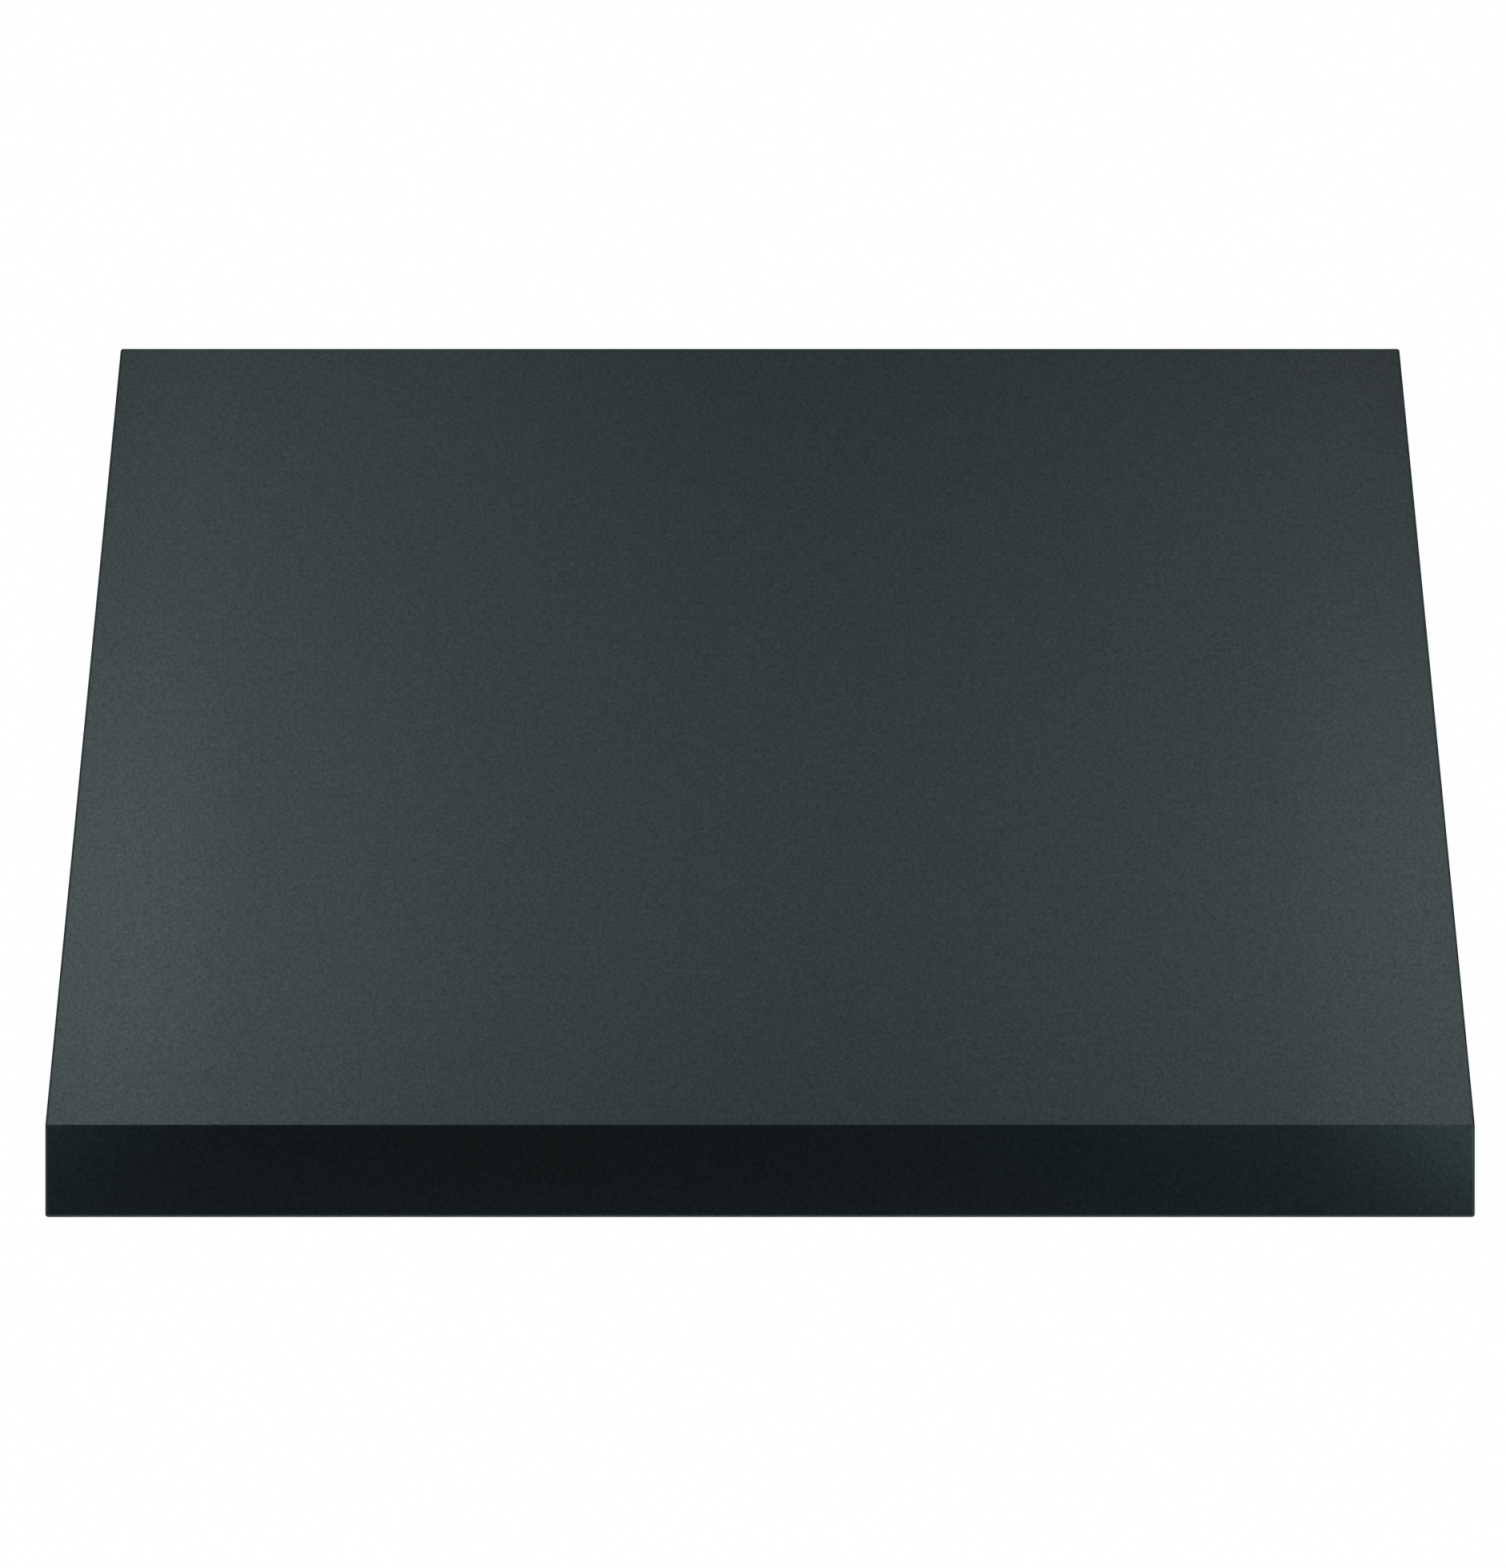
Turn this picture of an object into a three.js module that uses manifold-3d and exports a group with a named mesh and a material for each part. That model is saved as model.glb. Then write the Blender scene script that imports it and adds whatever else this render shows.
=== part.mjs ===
// Island range hood: a sloped canopy that hangs from the ceiling over a cooktop.
// Millimetres, +Z up, the front faces -Y. Heights are first given above the bottom rim;
// the whole group is then lowered so that the origin is the centre of the four hanger faces.

import * as THREE from 'three';
import { mergeVertices } from 'three/addons/utils/BufferGeometryUtils.js';
import Module from 'manifold-3d';

const wasm = await Module();
wasm.setup();

// ---- Driving dimensions -------------------------------------------------------------

const WIDTH = 914;
const DEPTH = 864;
const HEIGHT = 588;
const LIP = 59;
const TOP_DEPTH = 330;
const SHEET = 1.2;
const BEND = 3;
const GAP = 0.3;
const RIM_FLANGE = 16;
const TOP_FLANGE = 14;

const DECK_TOP = 538;
const DECK_FLANGE = 24;
const WIRE_HOLE = 11;
const JUNCTION_X = 245;
const COLLAR_RADIUS = 125;
const COLLAR_FLANGE = 20;
const COLLAR_HEIGHT = 44;
const DAMPER_Z = 548;
const HANGER_X = 380;
const HANGER_Y = 110;
const HANGER_STEEL = 3;
const HANGER_FACE = 558;
const HANGER_WIDTH = 50;
const HANGER_REACH = 46;
const HANGER_HOLE = 5.5;

const RAIL_Z = 38;
const RAIL_WALL = 95;
const OPENING_Y = 252;
const LEDGE_NOSE = 241.5;
const CATCH_Z = 50;
const CATCH_REACH = 2.5;

const FILTER_WIDTH = 284;
const FILTER_PITCH = 287;
const FILTER_FRONT = -247;
const FILTER_BACK = 249;
const FILTER_Z = 40;
const FILTER_THICK = 22;
const FILTER_FLANGE = 14;
const BAFFLE_PITCH = 32;
const BAFFLE_HALF = 11;
const BAFFLE_RISE = 7;
const BAFFLE_SHEET = 1;
const HANDLE_ROD = 3;
const HANDLE_SPAN = 80;
const HANDLE_DROP = 23;
const HANDLE_Y = -232;

const BLOWER_Y = 40;
const BLOWER_Z = 300;
const WHEEL_RADIUS = 90;
const WHEEL_WIDTH = 92;
const BLADE_DEPTH = 4;
const VOLUTE_X = 130;
const VOLUTE_WIDTH = 104;
const SCROLL_START = 102;
const SCROLL_GROWTH = 48;
const CUTOFF_ANGLE = 60;
const INLET_RADIUS = 80;
const SHAFT_RADIUS = 6;
const MOTOR_RADIUS = 62;
const MOTOR_LENGTH = 116;
const PLENUM_Z = 470;
const PLENUM_X = 190;
const PLENUM_Y = 128;

const LAMP_X = 330;
const LAMP_Y = 342;
const BEZEL_RADIUS = 36;
const LAMP_RADIUS = 31;
const KNOB_X = 60;
const KNOB_Y = -342;
const KNOB_RADIUS = 21;

const GUTTER_Y = [243, 284];
const GUTTER_Z = 24;
const CUP_HALF = 90;
const CUP_DEPTH = 15;

const ROUND_STEPS = 24;
const LARGE_ROUND_STEPS = 36;

// ---- Worked-out places --------------------------------------------------------------

const halfWidth = WIDTH / 2;
const insideX = halfWidth - SHEET - GAP;
const lipY = DEPTH / 2;
const slopeRun = (DEPTH - TOP_DEPTH) / 2;
const slopeRise = HEIGHT - LIP;
const slopeCosine = slopeRise / Math.hypot(slopeRun, slopeRise);
const filterTop = FILTER_Z + FILTER_THICK;

// Half of the clear depth between the two sloped panels at a height above the rim.
function insideY(z) {
  const outside = lipY - (slopeRun * (z - LIP)) / slopeRise;
  return outside - (SHEET + GAP) / slopeCosine;
}

// ---- Materials ----------------------------------------------------------------------

function metal(name, color, roughness, metalness) {
  return new THREE.MeshStandardMaterial({ name, color, roughness, metalness });
}

const slate = metal('slate_coat', 0x3c4649, 0.5, 0.6);
const stainless = metal('stainless', 0xb4b8ba, 0.3, 1);
const galvanised = metal('galvanised', 0x9aa2a5, 0.5, 0.9);
const painted = metal('painted_steel', 0x2d3133, 0.5, 0.5);
const castMetal = metal('cast_aluminium', 0x8f9496, 0.55, 0.9);
const blackPlastic = metal('black_plastic', 0x17191a, 0.55, 0);
const whitePlastic = metal('pale_plastic', 0xd9d7cf, 0.5, 0);
const glass = metal('frosted_glass', 0xe9eef0, 0.25, 0);
const cableJacket = metal('cable_jacket', 0x4a4d50, 0.6, 0);

// ---- Solid helpers ------------------------------------------------------------------

// Six times the signed volume under one triangle, negative where a surface is inside out.
function signedVolume(position, triangles) {
  let total = 0;
  const a = new THREE.Vector3();
  const b = new THREE.Vector3();
  const c = new THREE.Vector3();
  for (let i = 0; i < triangles.length; i += 3) {
    a.fromBufferAttribute(position, triangles[i]);
    b.fromBufferAttribute(position, triangles[i + 1]);
    c.fromBufferAttribute(position, triangles[i + 2]);
    total += a.dot(b.cross(c));
  }
  return total;
}

// A closed three.js geometry as a solid, with its faces turned outwards.
function solid(geometry) {
  geometry.deleteAttribute('normal');
  geometry.deleteAttribute('uv');
  const merged = mergeVertices(geometry, 1e-3);
  const position = merged.getAttribute('position');
  const source = merged.index.array;
  const triangles = [];
  for (let i = 0; i < source.length; i += 3) {
    const [a, b, c] = [source[i], source[i + 1], source[i + 2]];
    if (a !== b && b !== c && c !== a) triangles.push(a, b, c);
  }
  if (signedVolume(position, triangles) < 0) triangles.reverse();
  const triVerts = Uint32Array.from(triangles);
  return new wasm.Manifold(new wasm.Mesh({ numProp: 3, vertProperties: position.array, triVerts }));
}

function box(x, y, z) {
  const geometry = new THREE.BoxGeometry(x[1] - x[0], y[1] - y[0], z[1] - z[0]);
  geometry.translate((x[0] + x[1]) / 2, (y[0] + y[1]) / 2, (z[0] + z[1]) / 2);
  return solid(geometry);
}

function shapeOf(points) {
  return new THREE.Shape(points.map(([u, v]) => new THREE.Vector2(u, v)));
}

const AXES = {
  x: [new THREE.Vector3(0, 1, 0), new THREE.Vector3(0, 0, 1), new THREE.Vector3(1, 0, 0)],
  y: [new THREE.Vector3(0, 0, 1), new THREE.Vector3(1, 0, 0), new THREE.Vector3(0, 1, 0)],
  z: [new THREE.Vector3(1, 0, 0), new THREE.Vector3(0, 1, 0), new THREE.Vector3(0, 0, 1)],
};

// An outline pushed along an axis. Its points are (y, z) along x, (z, x) along y, (x, y) along z.
function prism(axis, points, from, to) {
  const geometry = new THREE.ExtrudeGeometry(shapeOf(points), { depth: to - from, bevelEnabled: false });
  geometry.translate(0, 0, from);
  geometry.applyMatrix4(new THREE.Matrix4().makeBasis(...AXES[axis]));
  return solid(geometry);
}

// Points round a circle, in the plane that prism() pushes along its axis.
function circle(radius, [u, v], steps = ROUND_STEPS) {
  const points = [];
  for (let i = 0; i < steps; i += 1) {
    const angle = (2 * Math.PI * i) / steps;
    points.push([u + radius * Math.cos(angle), v + radius * Math.sin(angle)]);
  }
  return points;
}

function rod(axis, radius, centre, from, to, steps = ROUND_STEPS) {
  return prism(axis, circle(radius, centre, steps), from, to);
}

// A closed profile of (radius, height) turned about the vertical through (x, y).
function turned(profile, x, y, steps = ROUND_STEPS) {
  const points = profile.map(([radius, z]) => new THREE.Vector2(radius, z));
  points.push(points[0].clone());
  const geometry = new THREE.LatheGeometry(points, steps);
  geometry.rotateX(Math.PI / 2);
  geometry.translate(x, y, 0);
  return solid(geometry);
}

function rotateLeft(u, v) {
  return [-v, u];
}

function direction(from, to) {
  const length = Math.hypot(to[0] - from[0], to[1] - from[1]);
  return [(to[0] - from[0]) / length, (to[1] - from[1]) / length];
}

// A line of points with each inner corner replaced by an arc.
function roundCorners(points, radius, steps = 3) {
  const line = [points[0]];
  for (let i = 1; i < points.length - 1; i += 1) {
    const before = direction(points[i], points[i - 1]);
    const after = direction(points[i], points[i + 1]);
    const half = Math.acos(before[0] * after[0] + before[1] * after[1]) / 2;
    const reach = radius / Math.tan(half);
    const middle = direction([0, 0], [before[0] + after[0], before[1] + after[1]]);
    const toCentre = radius / Math.sin(half);
    const centre = [points[i][0] + middle[0] * toCentre, points[i][1] + middle[1] * toCentre];
    const first = [points[i][0] + before[0] * reach, points[i][1] + before[1] * reach];
    const last = [points[i][0] + after[0] * reach, points[i][1] + after[1] * reach];
    const start = Math.atan2(first[1] - centre[1], first[0] - centre[0]);
    const end = Math.atan2(last[1] - centre[1], last[0] - centre[0]);
    const turn = Math.atan2(Math.sin(end - start), Math.cos(end - start));
    for (let k = 0; k <= steps; k += 1) {
      const angle = start + (turn * k) / steps;
      line.push([centre[0] + radius * Math.cos(angle), centre[1] + radius * Math.sin(angle)]);
    }
  }
  line.push(points[points.length - 1]);
  return line;
}

// The same line moved sideways by a distance, to the left of its direction when positive.
function offsetLine(line, distance) {
  return line.map((point, i) => {
    const inward = i > 0 ? direction(line[i - 1], point) : direction(point, line[1]);
    const outward = i < line.length - 1 ? direction(point, line[i + 1]) : inward;
    const along = direction([0, 0], [inward[0] + outward[0], inward[1] + outward[1]]);
    const [u, v] = rotateLeft(...along);
    const stretch = distance / (along[0] * inward[0] + along[1] * inward[1]);
    return [point[0] + u * stretch, point[1] + v * stretch];
  });
}

// The outline of a bent sheet whose face follows the points; the metal lies to their left,
// or to their right when the thickness is negative.
function bentSheet(points, thickness, radius = BEND) {
  const face = radius > 0 ? roundCorners(points, radius) : points;
  return [...face, ...offsetLine(face, thickness).reverse()];
}

// A round bar that follows a line of points with rounded corners.
function bentRod(points, radius, cornerRadius, steps, sides = 8) {
  const path = new THREE.CurvePath();
  let start = points[0];
  for (let i = 1; i < points.length - 1; i += 1) {
    const corner = points[i];
    const toward = points[i - 1].clone().sub(corner).setLength(cornerRadius).add(corner);
    const away = points[i + 1].clone().sub(corner).setLength(cornerRadius).add(corner);
    path.add(new THREE.LineCurve3(start, toward));
    path.add(new THREE.QuadraticBezierCurve3(toward, corner, away));
    start = away;
  }
  path.add(new THREE.LineCurve3(start, points[points.length - 1]));
  const section = shapeOf(circle(radius, [0, 0], sides));
  return solid(new THREE.ExtrudeGeometry(section, { steps, extrudePath: path, bevelEnabled: false }));
}

// ---- The assembly -------------------------------------------------------------------

const hood = new THREE.Group();
hood.name = 'island_range_hood';

function add(name, shape, material) {
  const { vertProperties, triVerts } = shape.getMesh();
  const geometry = new THREE.BufferGeometry();
  geometry.setAttribute('position', new THREE.BufferAttribute(vertProperties, 3));
  geometry.setIndex(new THREE.BufferAttribute(triVerts, 1));
  geometry.computeVertexNormals();
  const mesh = new THREE.Mesh(geometry, material);
  mesh.name = name;
  hood.add(mesh);
}

// ---- Canopy shell -------------------------------------------------------------------

// A lip, a crease and a long slope folded from one sheet, with a flange at each end.
// side is -1 for the front panel and 1 for the back panel.
function slopedPanel(side) {
  const face = [
    [side * (lipY - RIM_FLANGE), 0],
    [side * lipY, 0],
    [side * lipY, LIP],
    [(side * TOP_DEPTH) / 2, HEIGHT],
    [side * (TOP_DEPTH / 2 - TOP_FLANGE), HEIGHT],
  ];
  return prism('x', bentSheet(face, side * SHEET), -halfWidth, halfWidth);
}

// An upright end plate between the two sloped panels, with a flange at its foot and its top.
function endPanel(side) {
  const inset = SHEET + GAP;
  const lipInside = lipY - inset;
  const top = HEIGHT - inset;
  const halfOutline = [
    [lipInside - BEND, inset],
    [lipInside, inset + BEND],
    [lipInside, LIP],
    [insideY(top - BEND), top - BEND],
    [insideY(top) - BEND, top],
  ];
  const mirrored = halfOutline.map(([y, z]) => [-y, z]).reverse();
  const outline = [...halfOutline, ...mirrored];
  const plateX = [side * (halfWidth - SHEET), side * halfWidth].sort((a, b) => a - b);
  const flangeX = [side * (halfWidth - RIM_FLANGE), side * halfWidth].sort((a, b) => a - b);
  const footY = lipY - RIM_FLANGE - BEND;
  const topY = TOP_DEPTH / 2 - TOP_FLANGE - BEND;
  const plate = prism('x', outline, ...plateX);
  const foot = box(flangeX, [-footY, footY], [inset, inset + SHEET]);
  const head = box(flangeX, [-topY, topY], [top - SHEET, top]);
  return plate.add(foot).add(head);
}

// A tray let into the top of the canopy, open under the duct collar.
function topDeck() {
  const underside = DECK_TOP - SHEET;
  const brim = DECK_TOP + DECK_FLANGE;
  const face = [
    [-insideY(brim), brim],
    [-insideY(underside), underside],
    [insideY(underside), underside],
    [insideY(brim), brim],
  ];
  const tray = prism('x', bentSheet(face, SHEET), -insideX, insideX);
  const duct = rod('z', COLLAR_RADIUS - SHEET, [0, 0], underside - 1, DECK_TOP + 1, LARGE_ROUND_STEPS);
  const wireHole = rod('z', WIRE_HOLE, [JUNCTION_X, 0], underside - 1, DECK_TOP + 1);
  return tray.subtract(duct).subtract(wireHole);
}

add('front_panel', slopedPanel(-1), slate);
add('back_panel', slopedPanel(1), slate);
add('left_end_panel', endPanel(-1), slate);
add('right_end_panel', endPanel(1), slate);
add('top_deck', topDeck(), galvanised);

// ---- Ceiling hangers ----------------------------------------------------------------

// A Z-bracket bolted to the deck; the threaded rod passes through the hole in its upper ear.
function hanger(x, y) {
  const toward = -Math.sign(x);
  const foot = DECK_TOP + GAP;
  const line = [
    [foot, x - toward * HANGER_REACH],
    [foot, x],
    [HANGER_FACE, x],
    [HANGER_FACE, x + toward * HANGER_REACH],
  ];
  const low = offsetHangerLine(line, toward);
  const bracket = prism('y', low, y - HANGER_WIDTH / 2, y + HANGER_WIDTH / 2);
  const earCentre = [x + (toward * (HANGER_REACH + HANGER_STEEL)) / 2, y];
  const hole = rod('z', HANGER_HOLE, earCentre, HANGER_FACE - 2 * HANGER_STEEL, HANGER_FACE + 1);
  return bracket.subtract(hole);
}

// The foot's underside and the ear's top face are the two outer faces of the Z.
function offsetHangerLine(line, toward) {
  const [footEnd, footCorner, earCorner, earEnd] = line;
  return [
    footEnd,
    [footCorner[0], footCorner[1] + (toward * HANGER_STEEL) / 2],
    [earCorner[0] - HANGER_STEEL, earCorner[1] + (toward * HANGER_STEEL) / 2],
    [earEnd[0] - HANGER_STEEL, earEnd[1]],
    earEnd,
    [earCorner[0], earCorner[1] - (toward * HANGER_STEEL) / 2],
    [footCorner[0] + HANGER_STEEL, footCorner[1] - (toward * HANGER_STEEL) / 2],
    [footEnd[0] + HANGER_STEEL, footEnd[1]],
  ];
}

for (const [row, y] of [['front', -HANGER_Y], ['rear', HANGER_Y]]) {
  add(`hanger_${row}_left`, hanger(-HANGER_X, y), galvanised);
  add(`hanger_${row}_right`, hanger(HANGER_X, y), galvanised);
}

// ---- Duct collar and backdraft damper -----------------------------------------------

const DAMPER_ROD = 3;
const SLEEVE_RADIUS = 5;
const FLAP_RADIUS = COLLAR_RADIUS - SHEET - 3;
const FLAP_EDGE = 6.5;

function ductCollar() {
  const inner = COLLAR_RADIUS - SHEET;
  const foot = DECK_TOP + GAP;
  const collar = turned([
    [inner, foot],
    [COLLAR_RADIUS + COLLAR_FLANGE, foot],
    [COLLAR_RADIUS + COLLAR_FLANGE, foot + SHEET],
    [COLLAR_RADIUS, foot + SHEET],
    [COLLAR_RADIUS, foot + COLLAR_HEIGHT],
    [inner, foot + COLLAR_HEIGHT],
  ], 0, 0, LARGE_ROUND_STEPS);
  const reach = COLLAR_RADIUS + 5;
  return collar.subtract(rod('y', DAMPER_ROD + GAP, [DAMPER_Z, 0], -reach, reach));
}

// A half disc that turns on the damper rod. side is -1 for the left flap, 1 for the right.
// Its sleeves are given as [from, to] along the rod.
function damperFlap(side, sleeves) {
  const startAngle = Math.acos(FLAP_EDGE / FLAP_RADIUS);
  const steps = LARGE_ROUND_STEPS / 2;
  const outline = [];
  for (let i = 0; i <= steps; i += 1) {
    const angle = -startAngle + (2 * startAngle * i) / steps;
    outline.push([side * FLAP_RADIUS * Math.cos(angle), FLAP_RADIUS * Math.sin(angle)]);
  }
  let flap = prism('z', outline, DAMPER_Z - SHEET / 2, DAMPER_Z + SHEET / 2);
  for (const [from, to] of sleeves) {
    const tabX = [0, side * (FLAP_EDGE + 1)].sort((a, b) => a - b);
    const tab = box(tabX, [from, to], [DAMPER_Z - SHEET / 2, DAMPER_Z + SHEET / 2]);
    flap = flap.add(tab).add(rod('y', SLEEVE_RADIUS, [DAMPER_Z, 0], from, to));
  }
  return flap.subtract(rod('y', DAMPER_ROD + GAP, [DAMPER_Z, 0], -FLAP_RADIUS, FLAP_RADIUS));
}

add('duct_collar', ductCollar(), galvanised);
add('damper_rod', rod('y', DAMPER_ROD, [DAMPER_Z, 0], -COLLAR_RADIUS - 2, COLLAR_RADIUS + 2), stainless);
add('damper_flap_left', damperFlap(-1, [[-100, -60], [60, 100]]), galvanised);
add('damper_flap_right', damperFlap(1, [[-30, 30]]), galvanised);

// ---- Rails round the filter opening -------------------------------------------------

const KNOB_HOLE = 7;

function railHoles(lampY, spindleHoles) {
  let holes = rod('z', LAMP_RADIUS + 1, [-LAMP_X, lampY], RAIL_Z - 5, RAIL_Z + 5);
  holes = holes.add(rod('z', LAMP_RADIUS + 1, [LAMP_X, lampY], RAIL_Z - 5, RAIL_Z + 5));
  for (const x of spindleHoles) {
    holes = holes.add(rod('z', KNOB_HOLE, [x, KNOB_Y], RAIL_Z - 5, RAIL_Z + 5));
  }
  return holes;
}

// The front rail carries the controls and the bead that the filter latches snap over.
function frontRail() {
  const lipInside = lipY - SHEET - GAP;
  const face = [
    [-lipInside, LIP - 4],
    [-lipInside, RAIL_Z],
    [-OPENING_Y, RAIL_Z],
    [-OPENING_Y, RAIL_WALL],
    [-OPENING_Y - 14, RAIL_WALL],
  ];
  const rail = prism('x', bentSheet(face, SHEET), -insideX, insideX);
  const beadX = 1.5 * FILTER_PITCH - 2;
  const beadY = [-OPENING_Y - SHEET / 2, -OPENING_Y + CATCH_REACH];
  const bead = box([-beadX, beadX], beadY, [CATCH_Z, CATCH_Z + 2]);
  return rail.add(bead).subtract(railHoles(-LAMP_Y, [-KNOB_X, KNOB_X]));
}

// The rear rail ends in a nose that the filters' rear edges rest on and turn over.
function rearRail() {
  const lipInside = lipY - SHEET - GAP;
  const wall = [
    [lipInside, LIP - 4],
    [lipInside, RAIL_Z],
    [OPENING_Y, RAIL_Z],
    [OPENING_Y, RAIL_WALL],
    [OPENING_Y + 14, RAIL_WALL],
  ];
  const rail = prism('x', bentSheet(wall, -SHEET), -insideX, insideX);
  const ledge = box([-insideX, insideX], [LEDGE_NOSE, OPENING_Y + 2 * BEND], [RAIL_Z, RAIL_Z + SHEET]);
  return rail.add(ledge).subtract(railHoles(LAMP_Y, []));
}

function sideRail(side) {
  const inner = 1.5 * FILTER_PITCH + SHEET;
  const face = [
    [LIP - 4, side * (insideX - GAP)],
    [RAIL_Z, side * (insideX - GAP)],
    [RAIL_Z, side * inner],
    [RAIL_WALL, side * inner],
  ];
  const end = LEDGE_NOSE - 1;
  return prism('y', bentSheet(face, side * SHEET), -end - 10, end);
}

add('front_rail', frontRail(), stainless);
add('rear_rail', rearRail(), stainless);
add('left_side_rail', sideRail(-1), stainless);
add('right_side_rail', sideRail(1), stainless);

// ---- Grease gutter and cup ----------------------------------------------------------

const GUTTER_HALF = 425;
const DRAIN_HALF = 12;
const RUNNER_HALF = CUP_HALF + 14;
const RUNNER_Z = 14;
const CUP_RIM_Z = 15.6;

// An open channel under the rear ledge, with closed ends and a drain over the cup.
function greaseGutter() {
  const [front, rear] = GUTTER_Y;
  const top = RAIL_Z - GAP;
  const body = box([-GUTTER_HALF, GUTTER_HALF], [front, rear], [GUTTER_Z, top]);
  const inside = box(
    [-GUTTER_HALF + SHEET, GUTTER_HALF - SHEET],
    [front + SHEET, rear - SHEET],
    [GUTTER_Z + SHEET, top + 1],
  );
  const middle = (front + rear) / 2;
  const drain = box([-DRAIN_HALF, DRAIN_HALF], [middle - 5, middle + 5], [GUTTER_Z - 1, GUTTER_Z + 2]);
  return body.subtract(inside).subtract(drain);
}

// A saddle riveted under the gutter, whose turned-in feet carry the cup's side rims.
function cupBracket() {
  const [front, rear] = [GUTTER_Y[0] + 3, GUTTER_Y[1]];
  const top = GUTTER_Z - GAP;
  const line = [
    [RUNNER_Z, -RUNNER_HALF + 10],
    [RUNNER_Z, -RUNNER_HALF],
    [top, -RUNNER_HALF],
    [top, RUNNER_HALF],
    [RUNNER_Z, RUNNER_HALF],
    [RUNNER_Z, RUNNER_HALF - 10],
  ];
  const saddle = prism('y', bentSheet(line, SHEET, 0), front, rear);
  const middle = (GUTTER_Y[0] + GUTTER_Y[1]) / 2;
  const drain = box([-DRAIN_HALF, DRAIN_HALF], [middle - 5, middle + 5], [top - 3, top + 1]);
  return saddle.subtract(drain);
}

function greaseCup() {
  const [front, rear] = [GUTTER_Y[0] + 4, GUTTER_Y[1] - 1];
  const top = CUP_RIM_Z + SHEET;
  const floor = top - CUP_DEPTH;
  const body = box([-CUP_HALF, CUP_HALF], [front, rear], [floor, top]);
  const rim = box([-RUNNER_HALF + SHEET + 1, RUNNER_HALF - SHEET - 1], [front, rear], [CUP_RIM_Z, top]);
  const inside = box(
    [-CUP_HALF + SHEET, CUP_HALF - SHEET],
    [front + SHEET, rear - SHEET],
    [floor + SHEET, top + 1],
  );
  const pull = box([-30, 30], [rear, rear + 12], [top - SHEET, top]);
  return body.add(rim).add(pull).subtract(inside);
}

add('grease_gutter', greaseGutter(), stainless);
add('cup_bracket', cupBracket(), stainless);
add('grease_cup', greaseCup(), stainless);

// ---- Baffle filters -----------------------------------------------------------------

const STRIP_GAP = 0.6;
const LATCH_HALF = 20;
const LATCH_X = 90;

// Four C-channels, open to the inside, welded into a rectangle.
function filterFrame(x) {
  const sides = [x - FILTER_WIDTH / 2, x + FILTER_WIDTH / 2];
  const shrink = ([low, high], by) => [low + by, high - by];
  const block = box(sides, [FILTER_FRONT, FILTER_BACK], [FILTER_Z, filterTop]);
  const window = box(
    shrink(sides, FILTER_FLANGE),
    shrink([FILTER_FRONT, FILTER_BACK], FILTER_FLANGE),
    [FILTER_Z - 1, filterTop + 1],
  );
  const channel = box(
    shrink(sides, SHEET),
    shrink([FILTER_FRONT, FILTER_BACK], SHEET),
    shrink([FILTER_Z, filterTop], SHEET),
  );
  return block.subtract(window).subtract(channel);
}

// A trough when rise is positive, an upturned cap when it is negative.
function baffle(x, z, rise) {
  const flat = BAFFLE_HALF - 3;
  const line = [
    [z + rise, x - BAFFLE_HALF],
    [z, x - flat],
    [z, x + flat],
    [z + rise, x + BAFFLE_HALF],
  ];
  const [front, back] = [FILTER_FRONT + 1.5 * SHEET + STRIP_GAP, FILTER_BACK - 1.5 * SHEET - STRIP_GAP];
  return prism('y', bentSheet(line, -Math.sign(rise) * BAFFLE_SHEET, 0), front, back);
}

// A lower row of troughs and an upper row of caps over the slots between them,
// welded to a strip across each end.
function bafflePack(x) {
  const count = 8;
  const low = FILTER_Z + SHEET + 1;
  const high = filterTop - SHEET - 1;
  let pack = null;
  for (let i = 0; i < 2 * count - 1; i += 1) {
    const centre = x + ((i - count + 1) * BAFFLE_PITCH) / 2;
    const slat = i % 2 === 0 ? baffle(centre, low, BAFFLE_RISE) : baffle(centre, high, -BAFFLE_RISE);
    pack = pack ? pack.add(slat) : slat;
  }
  const reach = FILTER_WIDTH / 2 - SHEET - 2;
  for (const y of [FILTER_FRONT + SHEET + STRIP_GAP, FILTER_BACK - 2 * SHEET - STRIP_GAP]) {
    const strip = box([x - reach, x + reach], [y, y + SHEET], [low - STRIP_GAP / 2, high + STRIP_GAP / 2]);
    pack = pack.add(strip);
  }
  return pack;
}

function filterHandle(x) {
  const foot = FILTER_Z - GAP;
  const low = FILTER_Z - HANDLE_DROP;
  const half = HANDLE_SPAN / 2;
  const points = [
    new THREE.Vector3(x - half, HANDLE_Y, foot),
    new THREE.Vector3(x - half, HANDLE_Y, low),
    new THREE.Vector3(x + half, HANDLE_Y, low),
    new THREE.Vector3(x + half, HANDLE_Y, foot),
  ];
  return bentRod(points, HANDLE_ROD, 10, 20);
}

// A leaf spring on the filter's front edge; its knee rests over the front rail's bead.
function filterLatch(x) {
  const root = FILTER_FRONT - GAP;
  const knee = -OPENING_Y + 1;
  const line = [
    [FILTER_Z + 3, root],
    [CATCH_Z + 2, root],
    [CATCH_Z + 5, knee],
    [filterTop - 1, root - 0.4],
  ];
  const leaf = line.map(([z, y]) => [y, z]);
  return prism('x', bentSheet(leaf, 0.6, 0), x - LATCH_HALF, x + LATCH_HALF);
}

for (const [place, x] of [['left', -FILTER_PITCH], ['centre', 0], ['right', FILTER_PITCH]]) {
  add(`filter_frame_${place}`, filterFrame(x), stainless);
  add(`baffles_${place}`, bafflePack(x), stainless);
  add(`filter_handle_${place}`, filterHandle(x), stainless);
  add(`filter_latch_${place}`, filterLatch(x + LATCH_X), stainless);
}

// ---- Blower -------------------------------------------------------------------------

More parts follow.
